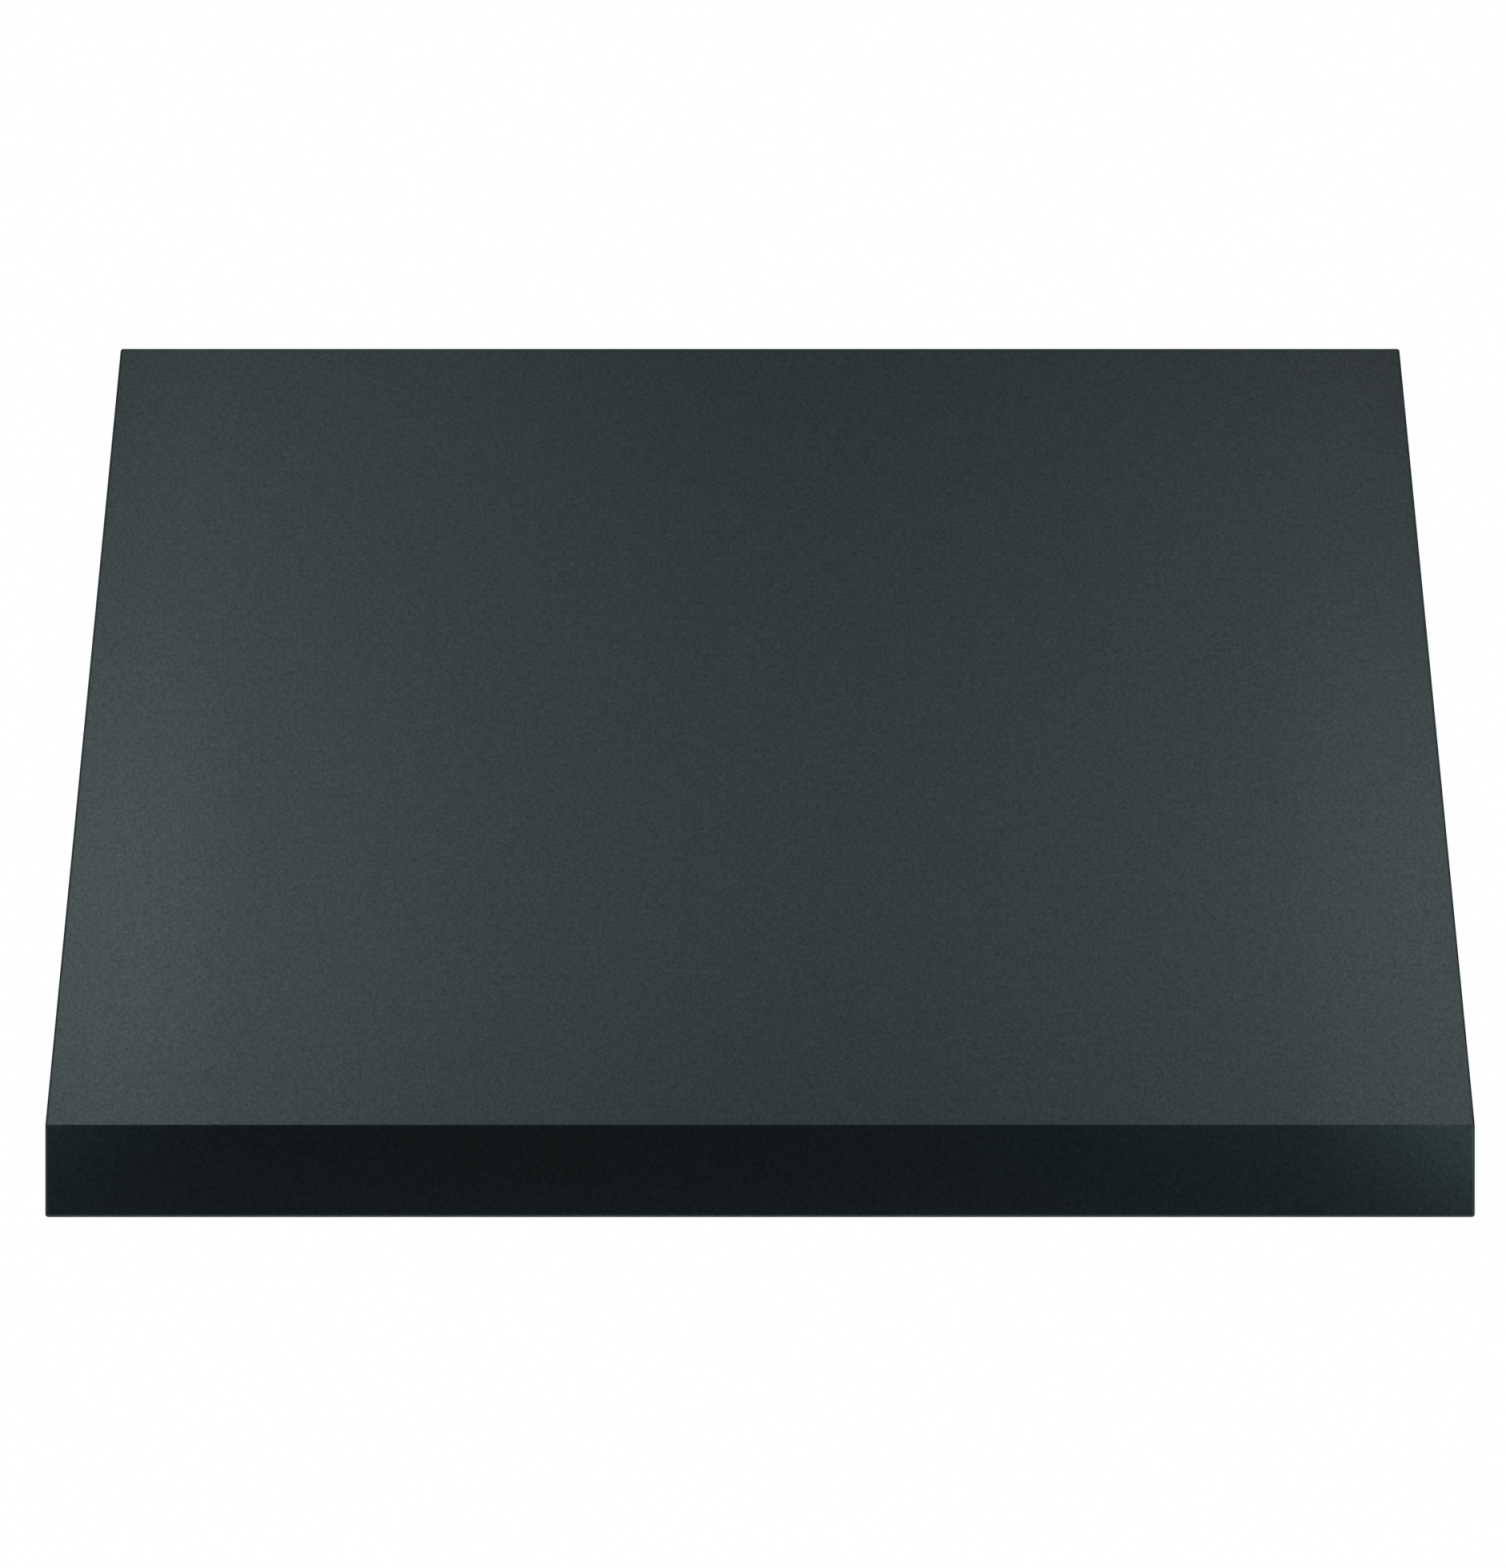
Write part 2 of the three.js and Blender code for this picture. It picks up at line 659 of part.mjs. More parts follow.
// The scroll's outline in (y, z): up the cut-off side, round the wheel and up to the outlet.
function scrollOutline(shrink, outletZ) {
  const steps = 24;
  const sweep = 180 + CUTOFF_ANGLE;
  const outline = [];
  for (let i = 0; i <= steps; i += 1) {
    const angle = THREE.MathUtils.degToRad(CUTOFF_ANGLE - (sweep * i) / steps);
    const radius = SCROLL_START + (SCROLL_GROWTH * i) / steps - shrink;
    outline.push([BLOWER_Y + radius * Math.cos(angle), BLOWER_Z + radius * Math.sin(angle)]);
  }
  outline.push([outline[steps][0], outletZ]);
  outline.push([outline[0][0], outletZ]);
  return outline;
}

function volute(side) {
  const [from, to] = [side * VOLUTE_X - VOLUTE_WIDTH / 2, side * VOLUTE_X + VOLUTE_WIDTH / 2];
  const outletZ = PLENUM_Z - GAP;
  const casing = prism('x', scrollOutline(0, outletZ), from, to);
  const air = prism('x', scrollOutline(SHEET, outletZ + 5), from + SHEET, to - SHEET);
  const inlets = rod('x', INLET_RADIUS, [BLOWER_Y, BLOWER_Z], from - 5, to + 5, LARGE_ROUND_STEPS);
  return casing.subtract(air).subtract(inlets);
}

// A box under the deck that gathers both outlets into the duct collar.
function outletPlenum() {
  const top = DECK_TOP - SHEET - GAP;
  const shell = box([-PLENUM_X, PLENUM_X], [-PLENUM_Y, PLENUM_Y], [PLENUM_Z, top]);
  const flangeX = PLENUM_X + 12;
  const flangeY = PLENUM_Y + 12;
  const flange = box([-flangeX, flangeX], [-flangeY, flangeY], [top - SHEET, top]);
  const air = box(
    [-PLENUM_X + SHEET, PLENUM_X - SHEET],
    [-PLENUM_Y + SHEET, PLENUM_Y - SHEET],
    [PLENUM_Z + SHEET, top + 1],
  );
  const outline = scrollOutline(SHEET, PLENUM_Z);
  const outletY = [outline[outline.length - 2][0], outline[outline.length - 1][0]];
  let plenum = shell.add(flange).subtract(air);
  for (const side of [-1, 1]) {
    const half = VOLUTE_WIDTH / 2 - SHEET;
    const outletX = [side * VOLUTE_X - half, side * VOLUTE_X + half];
    plenum = plenum.subtract(box(outletX, outletY, [PLENUM_Z - 1, PLENUM_Z + 3]));
  }
  return plenum;
}

// A double-inlet wheel: hub and centre disc, with a drum of blades between two end rings.
function blowerWheel(side) {
  const centre = side * VOLUTE_X;
  const half = WHEEL_WIDTH / 2;
  const axis = [BLOWER_Y, BLOWER_Z];
  const span = [centre - half, centre + half];
  const drum = rod('x', WHEEL_RADIUS, axis, ...span, LARGE_ROUND_STEPS);
  const eye = rod('x', WHEEL_RADIUS - BLADE_DEPTH, axis, span[0] - 1, span[1] + 1, LARGE_ROUND_STEPS);
  const disc = rod('x', WHEEL_RADIUS - BLADE_DEPTH / 2, axis, centre - 1, centre + 1, LARGE_ROUND_STEPS);
  const hub = rod('x', 16, axis, centre - 20, centre + 20);
  const bore = rod('x', SHAFT_RADIUS + GAP, axis, span[0] - 1, span[1] + 1);
  return drum.subtract(eye).add(disc).add(hub).subtract(bore);
}

function motor() {
  const axis = [BLOWER_Y, BLOWER_Z];
  const half = MOTOR_LENGTH / 2;
  const can = rod('x', MOTOR_RADIUS, axis, -half, half, LARGE_ROUND_STEPS);
  const bosses = rod('x', 20, axis, -half - 10, half + 10);
  return can.add(bosses).subtract(rod('x', SHAFT_RADIUS + GAP, axis, -half - 11, half + 11));
}

// A strap round the motor, hung from the plenum by a stiff web.
function motorBracket() {
  const axis = [BLOWER_Y, BLOWER_Z];
  const inner = MOTOR_RADIUS + GAP;
  const top = PLENUM_Z - GAP;
  const strap = rod('x', inner + 3, axis, -20, 20, LARGE_ROUND_STEPS);
  const web = box([-20, 20], [BLOWER_Y - 2, BLOWER_Y + 2], [BLOWER_Z + inner + 1, top]);
  const head = box([-20, 20], [BLOWER_Y - 40, BLOWER_Y + 40], [top - 3, top]);
  return strap.add(web).add(head).subtract(rod('x', inner, axis, -21, 21, LARGE_ROUND_STEPS));
}

const CAPACITOR_RADIUS = 20;
const CAPACITOR_Z = 415;

add('outlet_plenum', outletPlenum(), galvanised);
add('volute_left', volute(-1), galvanised);
add('volute_right', volute(1), galvanised);
add('motor', motor(), painted);
add('motor_bracket', motorBracket(), galvanised);
const capacitorAxis = [BLOWER_Y - 2 - GAP - CAPACITOR_RADIUS, CAPACITOR_Z];
add('capacitor', rod('x', CAPACITOR_RADIUS, capacitorAxis, -40, 40), whitePlastic);
const shaftEnd = VOLUTE_X + WHEEL_WIDTH / 2 - 20;
add('motor_shaft', rod('x', SHAFT_RADIUS, [BLOWER_Y, BLOWER_Z], -shaftEnd, shaftEnd), stainless);
add('blower_wheel_left', blowerWheel(-1), castMetal);
add('blower_wheel_right', blowerWheel(1), castMetal);

// ---- Lamps --------------------------------------------------------------------------

const BEZEL_THICK = 3;

// A bezel under the rail with the lamp's can standing above it and a seat for the lens.
function lamp(x, y) {
  const underside = RAIL_Z - GAP - BEZEL_THICK;
  const lensSeat = LAMP_RADIUS - 3;
  return turned([
    [lensSeat, underside],
    [BEZEL_RADIUS, underside],
    [BEZEL_RADIUS, underside + BEZEL_THICK],
    [LAMP_RADIUS, underside + BEZEL_THICK],
    [LAMP_RADIUS, underside + 30],
    [LAMP_RADIUS - 8, underside + 46],
    [0, underside + 46],
    [0, underside + 6],
    [lensSeat, underside + 6],
  ], x, y);
}

function lens(x, y) {
  const underside = RAIL_Z - GAP - BEZEL_THICK;
  return rod('z', LAMP_RADIUS - 3 - GAP, [x, y], underside + 0.8, underside + 5);
}

for (const [row, y] of [['front', -LAMP_Y], ['rear', LAMP_Y]]) {
  for (const [column, x] of [['left', -LAMP_X], ['right', LAMP_X]]) {
    add(`lamp_${row}_${column}`, lamp(x, y), stainless);
    add(`lens_${row}_${column}`, lens(x, y), glass);
  }
}

// ---- Controls -----------------------------------------------------------------------

const SPINDLE_RADIUS = 3;
const SPINDLE_LOW = 22;
const SPINDLE_HIGH = 58;
const KNOB_LOW = 15;
const KNOB_HIGH = 34.5;

// A switch above the rail; its bushing passes down through the rail round the spindle.
function rotarySwitch(x, half, height) {
  const foot = RAIL_Z + SHEET + GAP;
  const body = box([x - half, x + half], [KNOB_Y - half, KNOB_Y + half], [foot, foot + height]);
  const bushing = rod('z', KNOB_HOLE - 1, [x, KNOB_Y], RAIL_Z - 3, foot + 1);
  const bore = rod('z', SPINDLE_RADIUS + GAP, [x, KNOB_Y], RAIL_Z - 4, SPINDLE_HIGH + GAP);
  return body.add(bushing).subtract(bore);
}

// A round knob with a raised grip across its face and a blind bore for the spindle.
function knob(x) {
  const skirt = turned([
    [0, KNOB_LOW + 7],
    [KNOB_RADIUS - 3, KNOB_LOW + 7],
    [KNOB_RADIUS, KNOB_HIGH - 4],
    [KNOB_RADIUS, KNOB_HIGH],
    [0, KNOB_HIGH],
  ], x, KNOB_Y);
  const gripY = [KNOB_Y - KNOB_RADIUS + 1, KNOB_Y + KNOB_RADIUS - 1];
  const grip = box([x - 5, x + 5], gripY, [KNOB_LOW, KNOB_HIGH - 3]);
  const bore = rod('z', SPINDLE_RADIUS + GAP, [x, KNOB_Y], SPINDLE_LOW - GAP, KNOB_HIGH + 1);
  return skirt.add(grip).subtract(bore);
}

for (const [name, x, half, height] of [['fan', -KNOB_X, 22, 27], ['light', KNOB_X, 18, 24]]) {
  add(`${name}_switch`, rotarySwitch(x, half, height), blackPlastic);
  add(`${name}_spindle`, rod('z', SPINDLE_RADIUS, [x, KNOB_Y], SPINDLE_LOW, SPINDLE_HIGH), stainless);
  add(`${name}_knob`, knob(x), stainless);
}

// ---- Electrics ----------------------------------------------------------------------

const CONTROL_X = [130, 260];
const CONTROL_Y = [-400, -330];
const CONTROL_TOP = 84;
const JUNCTION_HALF = 48;
const JUNCTION_TOP = 575;
const LEAD_RADIUS = 3.5;
const LEAD_CLEAR = 2;

function controlBox() {
  return box(CONTROL_X, CONTROL_Y, [RAIL_Z + SHEET + GAP, CONTROL_TOP]);
}

// An open steel box in the top recess, with a knock-out for the house wiring in its side.
function junctionBox() {
  const foot = DECK_TOP + GAP;
  const x = [JUNCTION_X - JUNCTION_HALF, JUNCTION_X + JUNCTION_HALF];
  const y = [-JUNCTION_HALF, JUNCTION_HALF];
  const shell = box(x, y, [foot, JUNCTION_TOP]);
  const inside = box(
    [x[0] + SHEET, x[1] - SHEET],
    [y[0] + SHEET, y[1] - SHEET],
    [foot + SHEET, JUNCTION_TOP + 1],
  );
  const wireHole = rod('z', WIRE_HOLE, [JUNCTION_X, 0], foot - 1, foot + 3);
  const knockout = rod('x', WIRE_HOLE, [0, foot + 18], x[1] - 3, x[1] + 3);
  return shell.subtract(inside).subtract(wireHole).subtract(knockout);
}

function junctionCover() {
  const half = JUNCTION_HALF + 1;
  const z = [JUNCTION_TOP + GAP, JUNCTION_TOP + GAP + SHEET];
  return box([JUNCTION_X - half, JUNCTION_X + half], [-half, half], z);
}

// From the junction box down through the deck and along the front slope to the control box.
function supplyLead() {
  const clear = 14;
  const slopeAt = (z) => -insideY(z) + clear;
  const points = [
    new THREE.Vector3(JUNCTION_X, 0, DECK_TOP + 12),
    new THREE.Vector3(JUNCTION_X, 0, DECK_TOP - 30),
    new THREE.Vector3(JUNCTION_X, slopeAt(DECK_TOP - 30), DECK_TOP - 30),
    new THREE.Vector3(JUNCTION_X - 10, slopeAt(CONTROL_TOP + 40), CONTROL_TOP + 40),
    new THREE.Vector3(JUNCTION_X - 10, -370, CONTROL_TOP + LEAD_CLEAR),
  ];
  return bentRod(points, LEAD_RADIUS, 24, 36);
}

// From the front of the motor, forward between the volutes and down to the control box.
function motorLead() {
  const points = [
    new THREE.Vector3(0, BLOWER_Y - MOTOR_RADIUS - 4, BLOWER_Z - 10),
    new THREE.Vector3(0, -190, BLOWER_Z - 10),
    new THREE.Vector3(0, -330, 150),
    new THREE.Vector3(150, -370, 130),
    new THREE.Vector3(150, -370, CONTROL_TOP + LEAD_CLEAR),
  ];
  return bentRod(points, LEAD_RADIUS, 24, 30);
}

add('control_box', controlBox(), galvanised);
add('junction_box', junctionBox(), galvanised);
add('junction_cover', junctionCover(), galvanised);
add('supply_lead', supplyLead(), cableJacket);
add('motor_lead', motorLead(), cableJacket);

hood.position.z = -HANGER_FACE;

export default hood;
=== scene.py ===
import math
import bmesh
import bpy
from mathutils import Matrix, Vector


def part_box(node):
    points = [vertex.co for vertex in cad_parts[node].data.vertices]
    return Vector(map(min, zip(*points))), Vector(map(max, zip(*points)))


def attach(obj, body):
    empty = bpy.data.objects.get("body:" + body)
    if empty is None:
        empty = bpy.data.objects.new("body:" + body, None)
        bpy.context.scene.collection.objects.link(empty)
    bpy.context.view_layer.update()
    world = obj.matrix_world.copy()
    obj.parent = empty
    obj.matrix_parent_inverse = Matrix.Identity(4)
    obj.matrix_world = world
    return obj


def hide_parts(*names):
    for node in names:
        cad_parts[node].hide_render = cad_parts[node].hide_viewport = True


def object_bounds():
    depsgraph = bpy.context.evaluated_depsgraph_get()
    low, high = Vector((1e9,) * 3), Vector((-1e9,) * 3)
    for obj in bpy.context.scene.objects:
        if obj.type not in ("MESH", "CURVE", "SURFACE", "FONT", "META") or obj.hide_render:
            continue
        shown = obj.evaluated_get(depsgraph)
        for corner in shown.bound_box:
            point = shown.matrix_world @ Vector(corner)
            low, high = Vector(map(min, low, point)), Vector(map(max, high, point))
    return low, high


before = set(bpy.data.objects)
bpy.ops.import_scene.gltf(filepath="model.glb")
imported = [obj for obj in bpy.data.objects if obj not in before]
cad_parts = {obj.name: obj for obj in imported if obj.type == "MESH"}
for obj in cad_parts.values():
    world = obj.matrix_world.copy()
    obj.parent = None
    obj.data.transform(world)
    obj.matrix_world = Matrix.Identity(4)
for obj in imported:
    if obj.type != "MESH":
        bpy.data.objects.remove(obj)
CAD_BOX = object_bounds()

# Looks of a ceiling-hung canopy hood, +Z up, the front faces -Y. Shapes are drawn in
# millimetres with heights above the bottom rim; piece() puts them into the frame in metres.
# Places and overall sizes come from the frame; the sizes below are the canopy skin's own
# and those of detail that shows only here.

MM = 0.001
RIM = CAD_BOX[0].z
TO_FRAME = Matrix.Translation((0, 0, RIM)) @ Matrix.Scale(MM, 4)
FROM_FRAME = TO_FRAME.inverted()
HALF_WIDTH, HALF_DEPTH, HEIGHT = FROM_FRAME @ CAD_BOX[1]
SHEET = 1.2
BEND = 2.0
LIP = 59.0
TOP_HALF = 165.0
RIM_FLANGE = 16.0
TOP_FLANGE = 14.0
SIDE_RETURN = 12.0
SEAM = 0.4
SKIN_EDGE = 0.35
SKIN_CLEARANCE = 1.4 * SHEET
SHARP_ANGLE = math.radians(35)
PLACES = ("left", "centre", "right")
LAMP_CORNERS = ("front_left", "front_right", "rear_left", "rear_right")
SLOPE_ANGLE = math.atan2(HALF_DEPTH - TOP_HALF, HEIGHT - LIP)
UP = Vector((0, 0, 1))
DOWN = Vector((0, 0, -1))


def corners(node):
    """A CAD node's lowest and highest corners, in millimetres above the rim."""
    low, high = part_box(node)
    return FROM_FRAME @ Vector(low), FROM_FRAME @ Vector(high)


def middle(node):
    low, high = corners(node)
    return (low + high) / 2


def inside_y(height):
    """Half of the clear depth between the sloped panels at a height."""
    return HALF_DEPTH - (height - LIP) * math.tan(SLOPE_ANGLE) - SKIN_CLEARANCE


# ---- Materials ----------------------------------------------------------------------


class Nodes:
    """A material's node tree, with short calls for the nodes that the finishes share."""

    def __init__(self, name):
        self.material = bpy.data.materials.new(name)
        self.material.use_nodes = True
        self.tree = self.material.node_tree
        self.shader = self.tree.nodes["Principled BSDF"]
        self.place = self.add("ShaderNodeTexCoord").outputs["Object"]

    def add(self, kind, **settings):
        node = self.tree.nodes.new(kind)
        for key, value in settings.items():
            setattr(node, key, value)
        return node

    def link(self, source, target):
        self.tree.links.new(source, target)

    def stretched(self, scale):
        mapping = self.add("ShaderNodeMapping")
        mapping.inputs["Scale"].default_value = scale
        self.link(self.place, mapping.inputs["Vector"])
        return mapping.outputs["Vector"]

    def noise(self, scale, detail=2.0, vector=None):
        node = self.add("ShaderNodeTexNoise")
        node.inputs["Scale"].default_value = scale
        node.inputs["Detail"].default_value = detail
        self.link(vector or self.place, node.inputs["Vector"])
        return node.outputs["Fac"]

    def cells(self, scale):
        node = self.add("ShaderNodeTexVoronoi")
        node.inputs["Scale"].default_value = scale
        self.link(self.place, node.inputs["Vector"])
        return node.outputs["Color"]

    def spread(self, value, low, high, near=0.3, far=0.7):
        """The value's middle stretch, mapped to low..high."""
        node = self.add("ShaderNodeMapRange")
        for key, number in zip(("From Min", "From Max", "To Min", "To Max"), (near, far, low, high)):
            node.inputs[key].default_value = number
        self.link(value, node.inputs["Value"])
        return node.outputs["Result"]

    def tint(self, value, dark, light):
        node = self.add("ShaderNodeValToRGB")
        node.color_ramp.elements[0].position = 0.3
        node.color_ramp.elements[1].position = 0.7
        node.color_ramp.elements[0].color = (*dark, 1)
        node.color_ramp.elements[1].color = (*light, 1)
        self.link(value, node.inputs["Fac"])
        return node.outputs["Color"]

    def bump(self, height, strength, distance):
        node = self.add("ShaderNodeBump")
        node.inputs["Strength"].default_value = strength
        node.inputs["Distance"].default_value = distance
        self.link(height, node.inputs["Height"])
        self.link(node.outputs["Normal"], self.shader.inputs["Normal"])

    def set(self, **values):
        for key, value in values.items():
            self.shader.inputs[key.replace("_", " ")].default_value = value

    def colour(self, source):
        self.link(source, self.shader.inputs["Base Color"])

    def roughness(self, source):
        self.link(source, self.shader.inputs["Roughness"])


def slate_coat():
    """Dark slate metal under a satin, finely pebbled coat."""
    n = Nodes("slate_coat")
    speckle = n.noise(1300, 3)
    pebble = n.noise(520, 4)
    n.colour(n.tint(pebble, (0.0278, 0.0382, 0.0409), (0.0426, 0.0572, 0.0609)))
    n.roughness(n.spread(speckle, 0.34, 0.42))
    n.bump(pebble, 0.3, 0.08 * MM)
    n.set(Metallic=1.0, Specular_Tint=(0.4, 0.43, 0.44, 1))
    return n.material


def brushed_steel(name, along):
    """Stainless sheet, brushed along one axis: 0 for X, 1 for Y, 2 for Z."""
    light, rough = 0.56, 0.27
    n = Nodes(name)
    scale = [900.0, 900.0, 900.0]
    scale[along] = 9.0
    grain = n.noise(1, 3, n.stretched(scale))
    smudge = n.noise(7, 3)
    n.colour(n.tint(grain, (light * 0.9, light * 0.91, light * 0.91), (light, light * 1.01, light)))
    mixed = n.add("ShaderNodeMath", operation="MULTIPLY_ADD")
    mixed.inputs[1].default_value = 0.5
    n.link(grain, mixed.inputs[0])
    n.link(n.spread(smudge, 0.0, 0.5), mixed.inputs[2])
    n.roughness(n.spread(mixed.outputs[0], rough - 0.04, rough + 0.12, 0.1, 0.9))
    n.bump(grain, 0.12, 0.02 * MM)
    n.set(Metallic=1.0)
    return n.material


def bright_steel():
    n = Nodes("bright_steel")
    turned = n.noise(1, 2, n.stretched((1400, 1400, 1400)))
    n.colour(n.tint(turned, (0.58, 0.58, 0.58), (0.64, 0.64, 0.63)))
    n.roughness(n.spread(turned, 0.16, 0.24))
    n.set(Metallic=1.0)
    return n.material


def galvanised():
    """Zinc-coated sheet with its spangle of flat crystals."""
    n = Nodes("galvanised")
    crystal = n.add("ShaderNodeSeparateColor")
    n.link(n.cells(110), crystal.inputs["Color"])
    frost = n.noise(420, 3)
    n.colour(n.tint(crystal.outputs["Red"], (0.42, 0.44, 0.45), (0.50, 0.52, 0.53)))
    blend = n.add("ShaderNodeMath", operation="MULTIPLY_ADD")
    blend.inputs[1].default_value = 0.6
    n.link(crystal.outputs["Green"], blend.inputs[0])
    n.link(n.spread(frost, 0.0, 0.4), blend.inputs[2])
    n.roughness(n.spread(blend.outputs[0], 0.34, 0.52, 0.1, 0.9))
    n.bump(frost, 0.1, 0.03 * MM)
    n.set(Metallic=0.95)
    return n.material


def enamel():
    n = Nodes("painted_steel")
    peel = n.noise(260, 2)
    dust = n.noise(14, 4)
    n.colour(n.tint(dust, (0.018, 0.020, 0.022), (0.030, 0.032, 0.034)))
    n.roughness(n.spread(dust, 0.34, 0.5))
    n.bump(peel, 0.15, 0.05 * MM)
    return n.material


def wheel_aluminium():
    n = Nodes("wheel_aluminium")
    mill = n.noise(1, 2, n.stretched((60, 700, 700)))
    film = n.noise(20, 3)
    n.colour(n.tint(film, (0.46, 0.47, 0.48), (0.56, 0.57, 0.58)))
    n.roughness(n.spread(mill, 0.34, 0.48))
    n.bump(mill, 0.1, 0.03 * MM)
    n.set(Metallic=1.0)
    return n.material


def grained(name, dark, light, rough=0.5, metallic=0.0):
    """A plain solid with a fine even grain: moulded plastic, rubber or brass."""
    n = Nodes(name)
    pit = n.noise(900, 2)
    n.colour(n.tint(n.noise(30, 2), dark, light))
    n.roughness(n.spread(pit, rough - 0.05, rough + 0.07))
    n.bump(pit, 0.2, 0.04 * MM)
    n.set(Metallic=metallic)
    return n.material


def frosted_glass():
    n = Nodes("frosted_glass")
    etch = n.noise(1600, 2)
    n.colour(n.tint(etch, (0.86, 0.88, 0.88), (0.93, 0.94, 0.94)))
    n.roughness(n.spread(etch, 0.32, 0.46))
    n.bump(etch, 0.25, 0.04 * MM)
    n.set(IOR=1.5, Transmission_Weight=0.55)
    return n.material


def studio_paper():
    n = Nodes("studio_paper")
    tooth = n.noise(300, 2)
    n.colour(n.tint(tooth, (0.93, 0.93, 0.93), (0.95, 0.95, 0.95)))
    n.roughness(n.spread(tooth, 0.85, 0.95))
    return n.material


FINISH = {
    "slate_coat": slate_coat(),
    "stainless": brushed_steel("stainless", 0),
    "stainless_across": brushed_steel("stainless_across", 1),
    "bright_steel": bright_steel(),
    "galvanised": galvanised(),
    "painted_steel": enamel(),
    "wheel_aluminium": wheel_aluminium(),
    "black_plastic": grained("black_plastic", (0.010, 0.011, 0.012), (0.016, 0.017, 0.018)),
    "pale_plastic": grained("pale_plastic", (0.60, 0.58, 0.52), (0.66, 0.64, 0.58), 0.42),
    "frosted_glass": frosted_glass(),
    "cable_jacket": grained("cable_jacket", (0.050, 0.054, 0.058), (0.066, 0.070, 0.074), 0.55),
    "brass": grained("brass", (0.55, 0.40, 0.16), (0.62, 0.46, 0.20), 0.3, metallic=1.0),
    "rubber": grained("rubber", (0.014, 0.014, 0.014), (0.022, 0.022, 0.022), 0.7),
}


# ---- Mesh code ----------------------------------------------------------------------


def soften(obj, width, weld=False):
    """Rounds an object's sharp edges, and welds its loose corners first if asked."""
    if weld:
        obj.modifiers.new("weld", "WELD").merge_threshold = 0.01 * MM
    bevel = obj.modifiers.new("bevel", "BEVEL")
    bevel.width = width * MM
    bevel.segments = 2
    bevel.limit_method = "ANGLE"
    bevel.angle_limit = SHARP_ANGLE
    bevel.harden_normals = True


def shade_curves(mesh):
    """Shades a mesh smooth except across its sharp edges."""
    for face in mesh.polygons:
        face.use_smooth = True
    mesh.set_sharp_from_angle(angle=SHARP_ANGLE)


def piece(name, shape, finish, body="root", replaced=(), edge=0.0):
    """Makes an object of a bmesh, which then rides on its body and stands for CAD nodes."""
    bmesh.ops.recalc_face_normals(shape, faces=shape.faces)
    bmesh.ops.transform(shape, matrix=TO_FRAME, verts=shape.verts)
    mesh = bpy.data.meshes.new(name)
    shape.to_mesh(mesh)
    shape.free()
    obj = bpy.data.objects.new(name, mesh)
    bpy.context.scene.collection.objects.link(obj)
    shade_curves(mesh)
    mesh.materials.append(FINISH[finish])
    if edge:
        soften(obj, edge)
    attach(obj, body)
    if replaced:
        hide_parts(*replaced)
    return obj


def carried(node, finish, edge=0.35):
    """Shows a CAD node as it is, with its edges eased."""
    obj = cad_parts[node]
    obj.data.materials.clear()
    obj.data.materials.append(FINISH[finish])
    for face in obj.data.polygons:
        face.material_index = 0
        face.use_smooth = False
    soften(obj, edge, weld=True)


def loft(shape, rings, closed=True, ends=True, loop=False):
    """Joins rings of points, each to the next, and the last to the first in a loop.
    A closed ring runs round to its own first point."""
    rows = [[shape.verts.new(point) for point in ring] for ring in rings]
    if loop:
        rows.append(rows[0])
    for one, two in zip(rows, rows[1:]):
        last = len(one) if closed else len(one) - 1
        for i in range(last):
            k = (i + 1) % len(one)
            shape.faces.new((one[i], one[k], two[k], two[i]))
    if ends and not loop:
        shape.faces.new(rows[0])
        shape.faces.new(reversed(rows[-1]))


def join(shape, part, matrix=None):
    """Adds a part's mesh to a shape, moved by a matrix, and frees the part."""
    if matrix:
        bmesh.ops.transform(part, matrix=matrix, verts=part.verts)
    mesh = bpy.data.meshes.new("part")
    part.to_mesh(mesh)
    part.free()
    shape.from_mesh(mesh)
    bpy.data.meshes.remove(mesh)


def turned(shape, profile, centre, axis="z", steps=64, closed=True):
    """A profile of (radius, height) turned about an axis through the centre."""
    rings = []
    for i in range(steps):
        angle = 2 * math.pi * i / steps
        ring = []
        for radius, height in profile:
            u, v = radius * math.cos(angle), radius * math.sin(angle)
            place = {"x": (height, u, v), "y": (v, height, u), "z": (u, v, height)}[axis]
            ring.append(Vector(centre) + Vector(place))
        rings.append(ring)
    part = bmesh.new()
    loft(part, rings, closed=closed, loop=True)
    bmesh.ops.remove_doubles(part, verts=part.verts, dist=0.001)
    join(shape, part)


def rounded(points, radius, steps=6):
    """A 2-D line of points with its inner corners rounded. radius is one value or one each."""
    radii = radius if isinstance(radius, (list, tuple)) else [radius] * (len(points) - 2)
    line = [Vector(points[0])]
    for i, r in enumerate(radii, start=1):
        corner = Vector(points[i])
        before = (Vector(points[i - 1]) - corner).normalized()
        after = (Vector(points[i + 1]) - corner).normalized()
        half = before.angle(after) / 2
        centre = corner + (before + after).normalized() * (r / math.sin(half))
        first = corner + before * (r / math.tan(half)) - centre
        last = corner + after * (r / math.tan(half)) - centre
        turn = first.angle_signed(last)
        for k in range(steps + 1):
            a = -turn * k / steps
            line.append(centre + Vector((first.x * math.cos(a) - first.y * math.sin(a),
                                         first.x * math.sin(a) + first.y * math.cos(a))))
    line.append(Vector(points[-1]))
    return line


def beside(line, distance):
    """The same 2-D line, moved sideways to the left of its direction."""
    moved = []
    for i, point in enumerate(line):
        inward = (point - line[i - 1]).normalized() if i else (line[1] - point).normalized()
        outward = (line[i + 1] - point).normalized() if i < len(line) - 1 else inward
        along = (inward + outward).normalized()
        moved.append(point + Vector((-along.y, along.x)) * (distance / max(along.dot(inward), 0.2)))
    return moved


